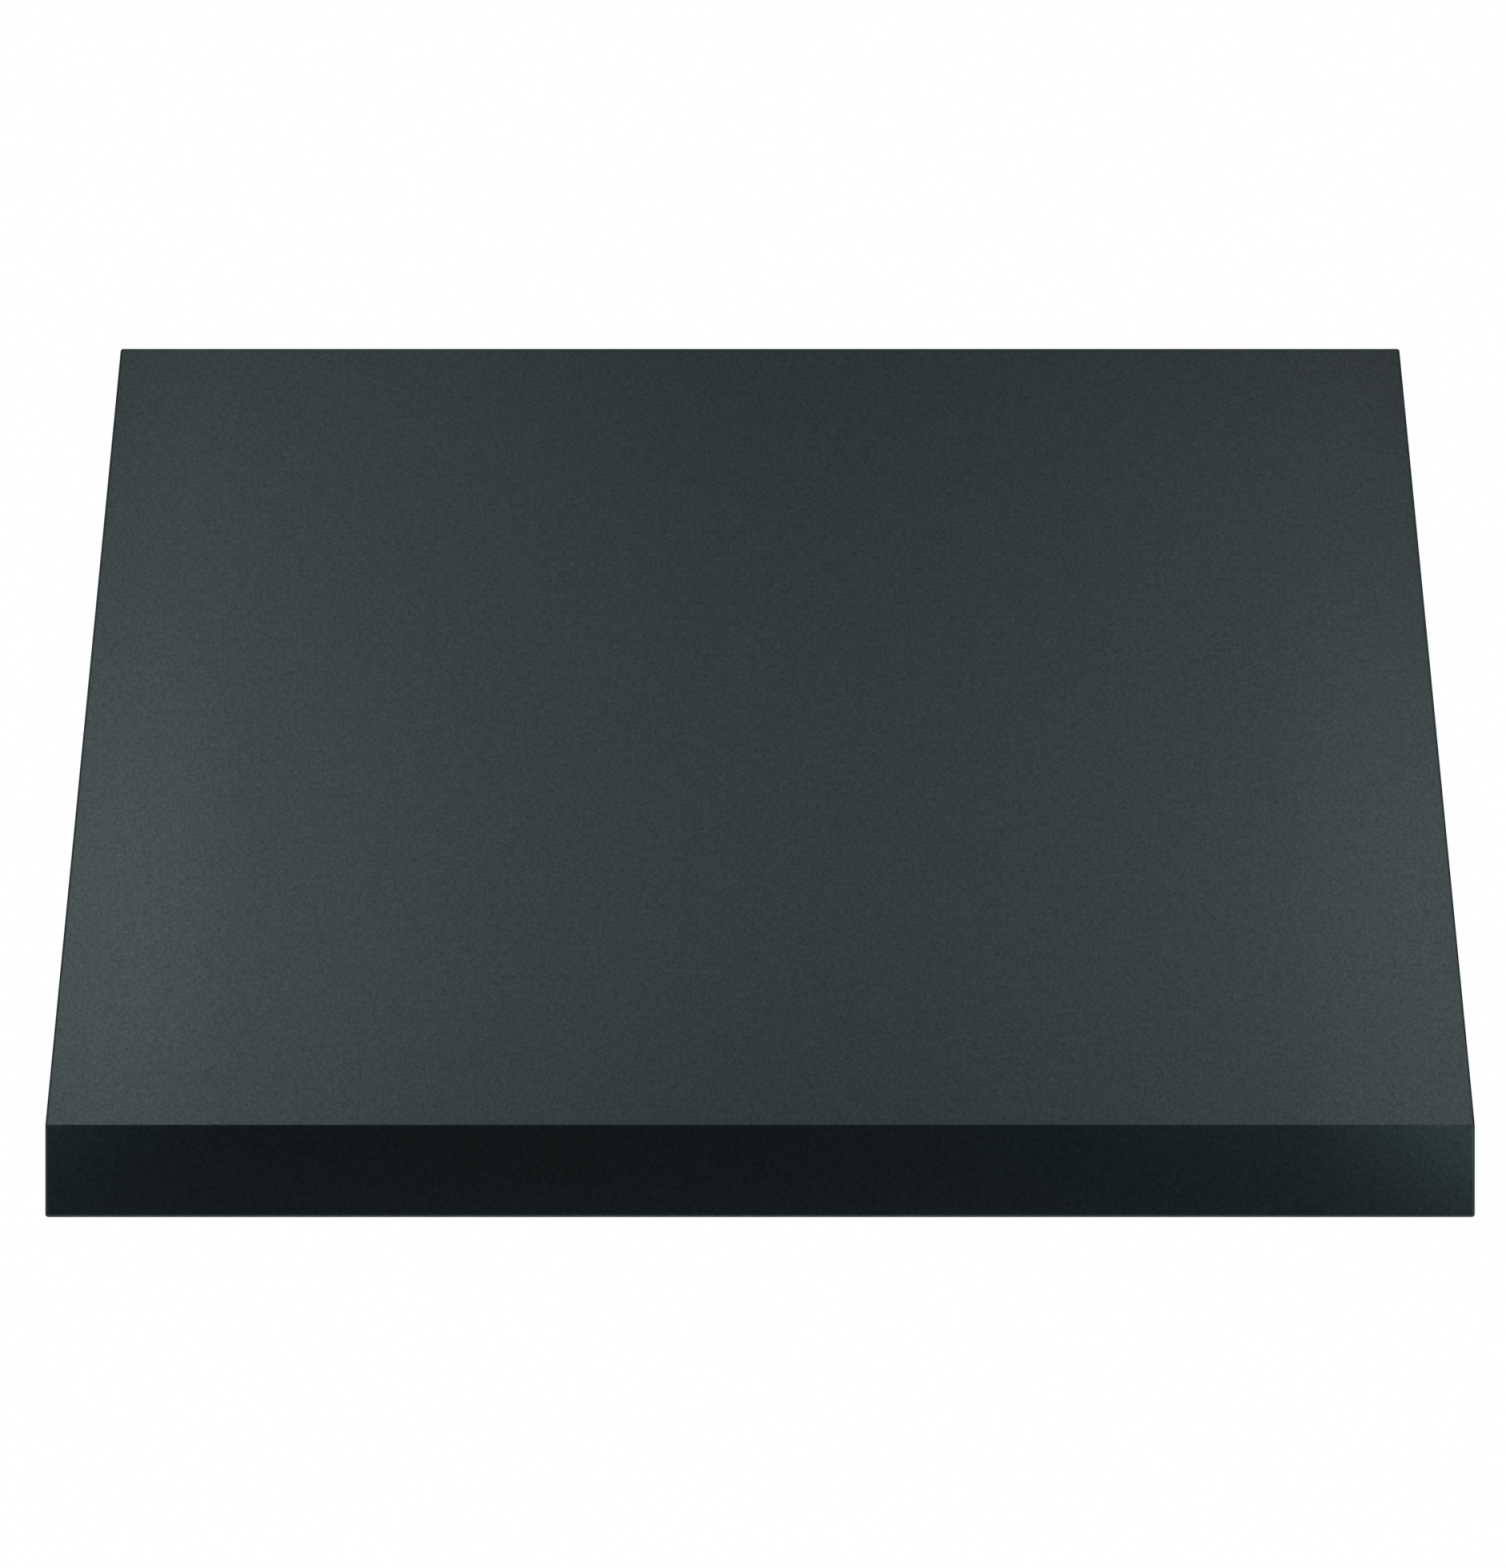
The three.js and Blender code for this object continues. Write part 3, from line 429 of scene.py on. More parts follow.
def strip(shape, line, thickness, axis, start, end):
    """A bent sheet: a 2-D line with thickness, pushed along an axis."""
    line = [Vector(p) for p in line]
    outline = line + beside(line, thickness)[::-1]
    place = {
        "x": lambda p, w: Vector((w, p.x, p.y)),
        "y": lambda p, w: Vector((p.x, w, p.y)),
        "z": lambda p, w: Vector((p.x, p.y, w)),
    }[axis]
    loft(shape, [[place(p, w) for p in outline] for w in (start, end)])


def tube(shape, path, radius, sides=16):
    """A round bar along a 3-D line of points. The ends are flat."""
    path = [Vector(p) for p in path]
    along = (path[1] - path[0]).normalized()
    side = along.orthogonal().normalized()
    rings = []
    for i, point in enumerate(path):
        ahead = path[min(i + 1, len(path) - 1)] - path[max(i - 1, 0)]
        turn = along.rotation_difference(ahead.normalized())
        along, side = ahead.normalized(), turn @ side
        across = along.cross(side)
        rings.append([point + side * (radius * math.cos(a)) + across * (radius * math.sin(a))
                      for a in (2 * math.pi * k / sides for k in range(sides))])
    loft(shape, rings)


def rounded_path(points, radius, steps=8):
    """A 3-D line of points with its inner corners rounded."""
    points = [Vector(p) for p in points]
    line = [points[0]]
    for before, corner, after in zip(points, points[1:], points[2:]):
        first = corner + (before - corner).normalized() * radius
        last = corner + (after - corner).normalized() * radius
        for k in range(steps + 1):
            t = k / steps
            line.append(first.lerp(corner, t).lerp(corner.lerp(last, t), t))
    line.append(points[-1])
    return line


def block(shape, low, high):
    """Adds a box between two corners and returns its vertices."""
    low, high = Vector(low), Vector(high)
    made = bmesh.ops.create_cube(shape, size=1.0)["verts"]
    size = high - low
    for vert in made:
        vert.co = (low + high) / 2 + vert.co * size
    return made


# ---- Fasteners ----------------------------------------------------------------------


def seat(shape, part, place, facing):
    """Joins a part that was drawn upright at the origin, at a place and facing a way."""
    turn = UP.rotation_difference(Vector(facing)).to_matrix().to_4x4()
    join(shape, part, Matrix.Translation(Vector(place)) @ turn)


def pan_head(shape, place, facing, radius=3.6):
    """A domed screw head with a small dimple and a cross on its crown."""
    part = bmesh.new()
    tall = radius * 0.62
    arm, half_arm = radius * 0.46, radius * 0.07
    dome = [(0, 0), (radius, 0), (radius, tall * 0.35), (radius * 0.86, tall * 0.75),
            (radius * 0.55, tall), (radius * 0.3, tall), (radius * 0.12, tall * 0.55), (0, tall * 0.45)]
    turned(part, dome, (0, 0, 0), steps=24, closed=False)
    for angle in (0.4, 0.4 + math.pi / 2):
        bar = block(part, (-arm, -half_arm, tall * 0.6), (arm, half_arm, tall * 1.01))
        bmesh.ops.rotate(part, verts=bar, matrix=Matrix.Rotation(angle, 3, "Z"))
    seat(shape, part, place, facing)


def rivet(shape, place, facing, radius=2.6):
    """A low dome with the small dimple of a pulled blind rivet."""
    part = bmesh.new()
    dome = [(radius * math.cos(a), radius * 0.5 * math.sin(a)) for a in (0, 0.4, 0.8, 1.15)]
    dimple = [(radius * 0.28, radius * 0.47), (radius * 0.22, radius * 0.3), (0, radius * 0.28)]
    turned(part, [(0, 0)] + dome + dimple, (0, 0, 0), steps=20, closed=False)
    seat(shape, part, place, facing)


def hex_bolt(shape, place, facing, across=13):
    """A hex head on a plain washer."""
    part = bmesh.new()
    washer = across * 0.62
    turned(part, [(0, 0), (washer, 0), (washer, 1.4), (0, 1.4)], (0, 0, 0), steps=32, closed=False)
    corner = across / math.sqrt(3)
    rings = []
    for radius, height in ((corner, 1.5), (corner, 5.6), (corner * 0.88, 6.6)):
        rings.append([Vector((radius * math.cos(a), radius * math.sin(a), height))
                      for a in (math.pi / 3 * k + 0.3 for k in range(6))])
    loft(part, rings)
    seat(shape, part, place, facing)


# ---- Canopy shell -------------------------------------------------------------------


def front_ring(x, inset):
    """The front panel's outer line at one width, drawn in by an inset from its edges."""
    y, top = HALF_DEPTH, HEIGHT
    end = min(inset, BEND)
    flange = max(1 - inset / BEND, 0.0)
    crease = LIP - inset * math.tan(SLOPE_ANGLE / 2)
    rise = top - end - crease
    slope_top = -y + inset + rise * math.tan(SLOPE_ANGLE)
    least = BEND + 0.1
    points = [
        (-y + inset + max(RIM_FLANGE * flange, least), end),
        (-y + inset, end),
        (-y + inset, crease),
        (slope_top, top - end),
        (slope_top + max(TOP_FLANGE * flange, least), top - end),
    ]
    radius = max(BEND - inset, 0.05)
    line = rounded(points, [radius, BEND, radius], 6)
    return [Vector((x, p.x, p.y)) for p in line]


def sloped_panel(side):
    """Lip, crease and slope from one sheet, wrapped round both ends to a short return."""
    stations = [(HALF_WIDTH, SIDE_RETURN), (HALF_WIDTH, 0.5 * (SIDE_RETURN + BEND))]
    for k in range(7):
        angle = math.pi / 2 * (1 - k / 6)
        stations.append((HALF_WIDTH - BEND * (1 - math.sin(angle)), BEND * (1 - math.cos(angle))))
    stations += [(HALF_WIDTH * t, 0.0) for t in (0.75, 0.5, 0.25)]
    stations = [(-x, inset) for x, inset in stations] + [(0.0, 0.0)] + stations[::-1]
    shape = bmesh.new()
    rings = [front_ring(x, inset) for x, inset in stations]
    if side > 0:
        rings = [[Vector((p.x, -p.y, p.z)) for p in ring] for ring in rings]
    loft(shape, rings, closed=False, ends=False)
    flat = [face for face in shape.faces if face.calc_area() < 0.001]
    bmesh.ops.delete(shape, geom=flat, context="FACES")
    name = "front_panel" if side < 0 else "back_panel"
    obj = piece(f"{name}_skin", shape, "slate_coat", replaced=[name])
    thicken(obj)


def thicken(obj):
    """Gives an open skin the sheet's thickness, inwards, and eases its cut edges."""
    solid = obj.modifiers.new("thickness", "SOLIDIFY")
    solid.thickness = SHEET * MM
    solid.offset = -1
    soften(obj, SKIN_EDGE)


def end_panel(side):
    """An end plate between the two returns, turned in at its foot and its top."""
    inset = SIDE_RETURN + SEAM
    y = HALF_DEPTH - inset
    crease = LIP - inset * math.tan(SLOPE_ANGLE / 2)
    top = HEIGHT - BEND
    y_top = y - (top - crease) * math.tan(SLOPE_ANGLE)
    foot = HALF_DEPTH - RIM_FLANGE - SEAM
    head = min(y_top - SEAM, TOP_HALF - TOP_FLANGE - SEAM)
    x = side * HALF_WIDTH
    shape = bmesh.new()
    outline = [(-y, BEND), (-foot, BEND), (foot, BEND), (y, BEND), (y, crease), (y_top, top),
               (head, top), (-head, top), (-y_top, top), (-y, crease)]
    verts = [shape.verts.new((x, a, b)) for a, b in outline]
    shape.faces.new(verts)
    turn_in(shape, verts[1], verts[2], x, -1)
    turn_in(shape, verts[6], verts[7], x, 1)
    name = "left_end_panel" if side < 0 else "right_end_panel"
    obj = piece(f"{name}_skin", shape, "slate_coat", replaced=[name])
    face_out(obj, Vector((side, 0, 0)))
    thicken(obj)


def turn_in(shape, one, two, x, way):
    """Bends a plate's edge inwards through a quarter circle, with a flange after it."""
    inward = -math.copysign(1, x)
    z = one.co.z
    lines = []
    for k in range(1, 7):
        angle = math.pi / 2 * k / 6
        lines.append((x + inward * BEND * (1 - math.cos(angle)), z + way * BEND * math.sin(angle)))
    lines.append((x + inward * RIM_FLANGE, z + way * BEND))
    before = (one, two)
    for u, w in lines:
        after = tuple(shape.verts.new((u, v.co.y, w)) for v in (one, two))
        shape.faces.new((before[0], before[1], after[1], after[0]))
        before = after


def face_out(obj, way):
    """Turns an open sheet over if its largest face looks inwards."""
    largest = max(obj.data.polygons, key=lambda face: face.area)
    if largest.normal.dot(way) < 0:
        obj.data.flip_normals()


def shell():
    sloped_panel(-1)
    sloped_panel(1)
    face_out(bpy.data.objects["front_panel_skin"], Vector((0, -1, 0)))
    face_out(bpy.data.objects["back_panel_skin"], Vector((0, 1, 0)))
    end_panel(-1)
    end_panel(1)


# ---- Top recess: deck, hangers, collar and damper -----------------------------------

COLLAR_RADIUS = 125.0
HANGER_STEEL = 3.0
DECK_SCREW_HEIGHT = 550.0
DECK_SCREW_PITCH = 105.0
FLAP_RIB_Y = 45.0
# Where each flap's sleeves start and end along the rod.
SLEEVES = {"left": ((-100, -60), (60, 100)), "right": ((-30, 30),)}


def top_recess():
    carried("top_deck", "galvanised")
    shape = bmesh.new()
    y = inside_y(DECK_SCREW_HEIGHT) - 1.1 * SHEET
    for side in (-1, 1):
        facing = (0, -side * math.cos(SLOPE_ANGLE), -math.sin(SLOPE_ANGLE))
        for k in range(-4, 5):
            pan_head(shape, (k * DECK_SCREW_PITCH, side * y, DECK_SCREW_HEIGHT), facing, 3.2)
    piece("deck_screws", shape, "bright_steel")
    hangers()
    duct_collar()
    damper_rod()
    for side, place in ((-1, "left"), (1, "right")):
        damper_flap(side, place)


def hangers():
    shape = bmesh.new()
    for row in ("front", "rear"):
        for side in ("left", "right"):
            node = f"hanger_{row}_{side}"
            carried(node, "galvanised", 0.5)
            low, high = corners(node)
            x = low.x + 22 if side == "left" else high.x - 22
            for y in (low.y + 12, high.y - 12):
                hex_bolt(shape, (x, y, low.z + HANGER_STEEL), UP, 10)
    piece("hanger_bolts", shape, "bright_steel")


def duct_collar():
    """A flanged tube with a rolled bead below its mouth."""
    low, high = corners("duct_collar")
    outside = [(high.x, low.z), (high.x, low.z + SHEET), (COLLAR_RADIUS + 2.4, low.z + SHEET)]
    outside += [(COLLAR_RADIUS + 0.7, low.z + SHEET + 0.7), (COLLAR_RADIUS, low.z + SHEET + 2.4)]
    bead = [math.pi * k / 8 for k in range(9)]
    outside += [(COLLAR_RADIUS + 2.2 * math.sin(a), high.z - 18 + 4 * (1 - math.cos(a))) for a in bead]
    outside.append((COLLAR_RADIUS, high.z))
    inside = [(COLLAR_RADIUS - SHEET, high.z)]
    inside += [(COLLAR_RADIUS - SHEET + 2.2 * math.sin(a), high.z - 10 - 4 * (1 - math.cos(a))) for a in bead]
    inside.append((COLLAR_RADIUS - SHEET, low.z))
    shape = bmesh.new()
    turned(shape, outside + inside, (0, 0, 0), steps=128)
    piece("duct_collar_tube", shape, "galvanised", replaced=["duct_collar"])
    screws = bmesh.new()
    for k in range(8):
        angle = math.pi / 4 * (k + 0.5)
        radius = high.x - 9
        pan_head(screws, (radius * math.cos(angle), radius * math.sin(angle), low.z + SHEET), UP, 3.4)
    piece("duct_collar_screws", screws, "bright_steel")


def damper_rod():
    low, high = corners("damper_rod")
    line = [(0, low.y), (2.4, low.y), (3, low.y + 0.6), (3, high.y - 0.6), (2.4, high.y), (0, high.y)]
    shape = bmesh.new()
    turned(shape, line, (0, 0, middle("damper_rod").z), axis="y", steps=32, closed=False)
    piece("damper_hinge_rod", shape, "bright_steel", replaced=["damper_rod"])


def damper_flap(side, place):
    """A half disc with two pressed ribs, on rolled sleeves round the rod."""
    node = f"damper_flap_{place}"
    low, high = corners(node)
    z = middle(node).z
    radius = max(-low.x, high.x)
    start = math.acos(6.5 / radius)
    angles = [start * (k / 24 - 1) for k in range(49)]
    outline = [(side * radius * math.cos(a), radius * math.sin(a)) for a in angles]
    shape = bmesh.new()
    loft(shape, [[(x, y, z + h) for x, y in outline] for h in (-SHEET / 2, SHEET / 2)])
    near, far = sorted((side * 4, side * 8))
    for first, last in SLEEVES[place]:
        turned(shape, [(3.4, first), (5, first), (5, last), (3.4, last)], (0, 0, z), axis="y", steps=32)
        block(shape, (near, first, z - SHEET / 2), (far, last, z + SHEET / 2))
    for y in (-FLAP_RIB_Y, FLAP_RIB_Y):
        tube(shape, [(side * 22, y, z + 0.4), (side * 98, y, z + 0.4)], 1.5, 12)
    piece(f"damper_{place}_blade", shape, "galvanised", f"damper_{place}", [node], edge=0.2)


# ---- Rails, gutter and grease cup ---------------------------------------------------


RAIL_SCREW_PITCH = 215.0
SIDE_SCREW_PITCH = 170.0


def rails():
    shape = bmesh.new()
    for row, way in (("front", -1), ("rear", 1)):
        carried(f"{row}_rail", "stainless")
        underside = corners(f"{row}_rail")[0].z
        for k in range(-2, 3):
            pan_head(shape, (k * RAIL_SCREW_PITCH, way * (HALF_DEPTH - 13), underside), DOWN)
    for side in ("left", "right"):
        node = f"{side}_side_rail"
        carried(node, "stainless_across")
        underside = corners(node)[0].z
        for k in (-1, 0, 1):
            pan_head(shape, (middle(node).x, k * SIDE_SCREW_PITCH, underside), DOWN)
    piece("rail_screws", shape, "bright_steel")


def grease_tray():
    carried("grease_gutter", "stainless")
    carried("cup_bracket", "stainless")
    carried("grease_cup", "stainless", 0.5)
    low, high = corners("cup_bracket")
    shape = bmesh.new()
    for side in (-1, 1):
        for y in (low.y + 7, high.y - 7):
            rivet(shape, (side * (high.x - 7), y, high.z - 2 * SHEET + 1.2), DOWN, 2.2)
    piece("cup_bracket_rivets", shape, "bright_steel")


# ---- Baffle filters -----------------------------------------------------------------

SLATS = 15
SLAT_STEP = 16.0
SLAT_HALF = 11.0
SLAT_RISE = 7.0
CHANNEL = 14.0
LATCH_KNEE = 55.0


def framed(shape, section, low, high):
    """A section of (distance in from the edge, height) run round a rectangle, mitred."""
    rings = []
    for sx, sy in ((-1, -1), (1, -1), (1, 1), (-1, 1)):
        x = low.x if sx < 0 else high.x
        y = low.y if sy < 0 else high.y
        rings.append([Vector((x - sx * p.x, y - sy * p.x, p.y)) for p in section])
    loft(shape, rings, loop=True)


def filter_frame(place):
    low, high = corners(f"filter_frame_{place}")
    line = rounded([(CHANNEL, low.z), (0, low.z), (0, high.z), (CHANNEL, high.z)], 1.8, 5)
    shape = bmesh.new()
    framed(shape, line + beside(line, -SHEET)[::-1], low, high)
    piece(f"filter_{place}_channel", shape, "stainless", f"filter_{place}",
          [f"filter_frame_{place}"], edge=0.25)
    rivets = bmesh.new()
    for x in (low.x + 7, high.x - 7):
        for y in (low.y + 24, high.y - 24):
            rivet(rivets, (x, y, low.z), DOWN, 2.4)
    piece(f"filter_{place}_rivets", rivets, "bright_steel", f"filter_{place}")


def filter_baffles(place):
    """Troughs below and caps above the slots between them, welded to a strip at each end."""
    node = f"baffles_{place}"
    low, high = corners(node)
    shape = bmesh.new()
    for i in range(SLATS):
        x = middle(node).x + (i - SLATS // 2) * SLAT_STEP
        rise = SLAT_RISE if i % 2 == 0 else -SLAT_RISE
        z = low.z + 0.3 if rise > 0 else high.z - 0.3
        line = rounded([(x - SLAT_HALF, z + rise), (x - SLAT_HALF + 3, z),
                        (x + SLAT_HALF - 3, z), (x + SLAT_HALF, z + rise)], 1.6, 4)
        strip(shape, line, math.copysign(1.0, rise), "y", low.y + 0.7, high.y - 0.7)
    for y in (low.y, high.y - SHEET):
        block(shape, (low.x, y, low.z), (high.x, y + SHEET, high.z))
    piece(f"filter_{place}_baffles", shape, "stainless_across", f"filter_{place}", [node])


def filter_handle(place):
    node = f"filter_handle_{place}"
    low, high = corners(node)
    y = middle(node).y
    left, right, foot = low.x + 3, high.x - 3, low.z + 3
    path = rounded_path([(left, y, high.z), (left, y, foot), (right, y, foot), (right, y, high.z)], 10, 10)
    shape = bmesh.new()
    tube(shape, path, 3, 24)
    weld = [(2.6, high.z - 1.6), (4.2, high.z - 1.4), (4.8, high.z - 0.6), (4.8, high.z), (2.6, high.z)]
    for x in (left, right):
        turned(shape, weld, (x, y, 0), steps=32)
    piece(f"filter_{place}_handle", shape, "bright_steel", f"filter_{place}", [node])


def filter_latch(place):
    """A sprung leaf with a knee, held to the filter by two rivets."""
    node = f"filter_latch_{place}"
    low, high = corners(node)
    root = high.y - 0.05
    knee = [(root, LATCH_KNEE - 3), (low.y + 0.7, LATCH_KNEE)]
    line = rounded([(root, low.z)] + knee + [(root - 0.4, high.z)], 1.5, 6)
    shape = bmesh.new()
    strip(shape, line, 0.6, "x", low.x, high.x)
    for x in (low.x + 9, high.x - 9):
        rivet(shape, (x, root - 0.6, low.z + 3.6), (0, -1, 0), 2.0)
    piece(f"filter_{place}_latch", shape, "bright_steel", f"filter_{place}", [node], edge=0.12)


def filters():
    for place in PLACES:
        filter_frame(place)
        filter_baffles(place)
        filter_handle(place)
        filter_latch(place)


# ---- Blower -------------------------------------------------------------------------

SCROLL_START = 102.0
SCROLL_GROWTH = 48.0
CUTOFF = math.radians(60)
BLADES = 42
WHEEL_SHEET = 1.6
PLENUM_SCREW_PITCH = 85.0


def scroll_line(axis, top):
    """The casing's wrap in (y, z): down to the cut-off, round the wheel, up to the outlet."""
    line = []
    for k in range(97):
        angle = CUTOFF - (math.pi + CUTOFF) * k / 96
        radius = SCROLL_START + SCROLL_GROWTH * k / 96
        line.append(Vector((axis.y + radius * math.cos(angle), axis.z + radius * math.sin(angle))))
    down = [Vector((line[0].x, top)).lerp(line[0], k / 8) for k in range(8)]
    up = [line[-1].lerp(Vector((line[-1].x, top)), k / 12) for k in range(1, 13)]
    return down + line + up


def volute(place):
    """A scroll casing with a rolled bell mouth in each side."""
    node = f"volute_{place}"
    low, high = corners(node)
    axis = middle("motor_shaft")
    line = scroll_line(axis, high.z)
    shape = bmesh.new()
    strip(shape, line, -SHEET, "x", low.x, high.x)
    mouth = [(84, 0), (81.6, 0.4), (80.3, 1.5), (80, 3.4), (81.2, 3.4), (81.5, 2.2), (82.2, 1.5), (84, SHEET)]
    across = [line[-1].lerp(line[0], k / 12) for k in range(1, 12)]
    for face, inward in ((low.x, 1), (high.x, -1)):
        rings = []
        for point in line + across:
            way = point - axis.yz
            section = [(way.length, 0)] + mouth + [(way.length, SHEET)]
            way.normalize()
            rings.append([(face + inward * depth, axis.y + way.x * radius, axis.z + way.y * radius)
                          for radius, depth in section])
        loft(shape, rings, loop=True)
    piece(f"volute_{place}_casing", shape, "galvanised", replaced=[node], edge=0.25)


def blower_wheel(place):
    """A double-inlet wheel with forward-curved blades between rolled end rings."""
    node = f"blower_wheel_{place}"
    low, high = corners(node)
    axis = middle(node)
    outer = high.z - axis.z
    shape = bmesh.new()
    for k in range(BLADES):
        line = []
        for i in range(7):
            radius = outer - 14 + 13.4 * i / 6
            angle = 2 * math.pi * k / BLADES + 0.13 * (i / 6) ** 2
            line.append((axis.y + radius * math.cos(angle), axis.z + radius * math.sin(angle)))
        strip(shape, line, 0.6, "x", low.x + 0.8, high.x - 0.8)
    ring = [(outer - 9, 0), (outer - 0.6, 0), (outer, 0.6), (outer, 7), (outer - 1, 7),
            (outer - 1, WHEEL_SHEET), (outer - 9, WHEEL_SHEET)]
    for edge, inward in ((low.x - axis.x, 1), (high.x - axis.x, -1)):
        turned(shape, [(radius, edge + inward * depth) for radius, depth in ring], axis, "x", 96)
    turned(shape, [(15, -1), (outer - 1.5, -1), (outer - 1.5, 1), (15, 1)], axis, "x", 96)
    hub = [(6.4, -20), (14.5, -20), (16, -18.5), (16, 18.5), (14.5, 20), (6.4, 20)]
    turned(shape, hub, axis, "x", 48)
    piece(f"blower_{place}_wheel", shape, "wheel_aluminium", "rotor", [node])
    screw = bmesh.new()
    pan_head(screw, (axis.x + 12, axis.y, axis.z + 15.6), UP, 2.6)
    piece(f"blower_{place}_set_screw", screw, "bright_steel", "rotor")


def motor_shaft():
    low, high = corners("motor_shaft")
    axis = middle("motor_shaft")
    shape = bmesh.new()
    ends = [(0, low.x), (5.2, low.x), (6, low.x + 0.8), (6, high.x - 0.8), (5.2, high.x), (0, high.x)]
    turned(shape, ends, (0, axis.y, axis.z), "x", 40, closed=False)
    piece("blower_shaft", shape, "bright_steel", "rotor", ["motor_shaft"])


def motor():
    """A round can between two ribbed end bells, held by four through-bolts."""
    axis = middle("motor_shaft")
    half = [(62, 27), (61, 27.8), (61, 30.2), (62, 31), (62, 50), (60.6, 54.4), (56, 57.2),
            (50, 58), (26, 58), (21, 59.4), (20, 61), (20, 66.4), (18.4, 68), (6.4, 68)]
    profile = [(radius, -x) for radius, x in half[::-1]] + half
    shape = bmesh.new()
    turned(shape, profile, axis, "x", 96)
    bolts = bmesh.new()
    for side in (-1, 1):
        for k in range(8):
            rib = block(shape, (58, -1.4, 27), (60.4, 1.4, 51))
            turn = Matrix.Rotation(math.pi / 4 * k, 4, "X") @ Matrix.Scale(side, 4, Vector((1, 0, 0)))
            bmesh.ops.transform(shape, verts=rib, matrix=Matrix.Translation((0, axis.y, axis.z)) @ turn)
        for k in range(4):
            angle = math.pi / 4 * (2 * k + 1) + math.pi / 8
            place = (side * 58, axis.y + 44 * math.cos(angle), axis.z + 44 * math.sin(angle))
            hex_bolt(bolts, place, (side, 0, 0), 7)
    piece("motor_can", shape, "painted_steel", replaced=["motor"], edge=0.3)
    piece("motor_bolts", bolts, "bright_steel")


def motor_bracket():
    """A strap round the motor, hung by a web from a plate bolted under the plenum."""
    low, high = corners("motor_bracket")
    axis = middle("motor_shaft")
    outer = axis.z - low.z
    shape = bmesh.new()
    turned(shape, [(outer - 3, low.x), (outer, low.x), (outer, high.x), (outer - 3, high.x)], axis, "x", 96)
    block(shape, (low.x, axis.y - 2, axis.z + outer - 1.4), (high.x, axis.y + 2, high.z - 3))
    block(shape, (low.x, axis.y - 40, high.z - 3), (high.x, axis.y + 40, high.z))
    piece("motor_hanger", shape, "galvanised", replaced=["motor_bracket"], edge=0.4)
    bolts = bmesh.new()
    for y in (-30, 30):
        hex_bolt(bolts, (0, axis.y + y, high.z - 3), DOWN, 10)
    piece("motor_hanger_bolts", bolts, "bright_steel")


def capacitor():
    low, high = corners("capacitor")
    axis = middle("capacitor")
    shape = bmesh.new()
    can = [(0, low.x), (18.4, low.x), (20, low.x + 1.6), (20, 28), (19.3, 28.8), (19.3, 30.4),
           (20, 31.2), (20, 34), (17.4, 34), (17.4, 32.4), (0, 32.4)]
    turned(shape, can, (0, axis.y, axis.z), "x", 64, closed=False)
    piece("capacitor_can", shape, "pale_plastic", replaced=["capacitor"])
    tabs = bmesh.new()
    for y in (-7, 7):
        block(tabs, (32, axis.y + y - 0.5, axis.z - 3.2), (high.x, axis.y + y + 0.5, axis.z + 3.2))
    piece("capacitor_tabs", tabs, "brass", edge=0.15)


def plenum():
    carried("outlet_plenum", "galvanised")
    high = corners("outlet_plenum")[1]
    shape = bmesh.new()
    for side in (-1, 1):
        for k in range(-2, 3):
            pan_head(shape, (k * PLENUM_SCREW_PITCH, side * (high.y - 6), high.z - SHEET), DOWN, 3.0)
        for k in (-1, 0, 1):
            pan_head(shape, (side * (high.x - 6), k * PLENUM_SCREW_PITCH, high.z - SHEET), DOWN, 3.0)
    piece("plenum_screws", shape, "bright_steel")


def blower():
    plenum()
    motor()
    motor_shaft()
    motor_bracket()
    capacitor()
    for place in ("left", "right"):
        volute(place)
        blower_wheel(place)


# ---- Lamps --------------------------------------------------------------------------


def lamp(corner):
    """A stepped bezel under the rail, with a finned can above it."""
    node = f"lamp_{corner}"
    low, high = corners(node)
    place = middle(node)
    z = low.z
    bezel = [(27.8, z + 0.5), (28.6, z + 0.1), (29.2, z), (33.6, z), (35.3, z + 0.5), (36, z + 1.6),
             (36, z + 3)]
    can = [(31, z + 3), (31, z + 12), (30.2, z + 12.8), (30.2, z + 14), (31, z + 14.8), (31, z + 29),
           (24, z + 43), (22, high.z), (0, high.z), (0, z + 6), (27.8, z + 6)]
    shape = bmesh.new()
    turned(shape, bezel + can, (place.x, place.y, 0), steps=72)
    piece(f"lamp_{corner}_can", shape, "bright_steel", replaced=[node])
    fins = bmesh.new()
    for k in range(20):
        fin = block(fins, (21, -0.7, z + 31), (30.6, 0.7, z + 45))
        turn = Matrix.Translation((place.x, place.y, 0)) @ Matrix.Rotation(math.tau * k / 20, 4, "Z")
        bmesh.ops.transform(fins, verts=fin, matrix=turn)
    piece(f"lamp_{corner}_fins", fins, "painted_steel")


def lens(corner):
    """A shallow dome, with fine rings pressed into its face."""
    node = f"lens_{corner}"
    low, high = corners(node)
    place = middle(node)
    outer = high.x - place.x
    profile = [(0, low.z + 0.25)]
    for k in range(1, 17):
        radius = (outer - 1.6) * k / 16
        profile.append((radius, low.z + 0.9 * (k / 16) ** 2 + (0.25 if k % 2 == 0 else 0.0)))
    profile += [(outer, low.z + 1.8), (outer, high.z), (0, high.z)]
    shape = bmesh.new()
    turned(shape, profile, (place.x, place.y, 0), steps=72, closed=False)
    piece(f"lamp_{corner}_lens", shape, "frosted_glass", replaced=[node])


def lamps():
    for corner in LAMP_CORNERS:
        lamp(corner)
        lens(corner)


# ---- Controls -----------------------------------------------------------------------


def superellipse(half_x, half_y, power, steps=48):
    """Points round a rectangle with swelling sides and rounded corners."""
    points = []
    for k in range(steps):
        angle = math.tau * k / steps
        c, s = (math.copysign(abs(t) ** power, t) for t in (math.cos(angle), math.sin(angle)))
        points.append((half_x * c, half_y * s))
    return points


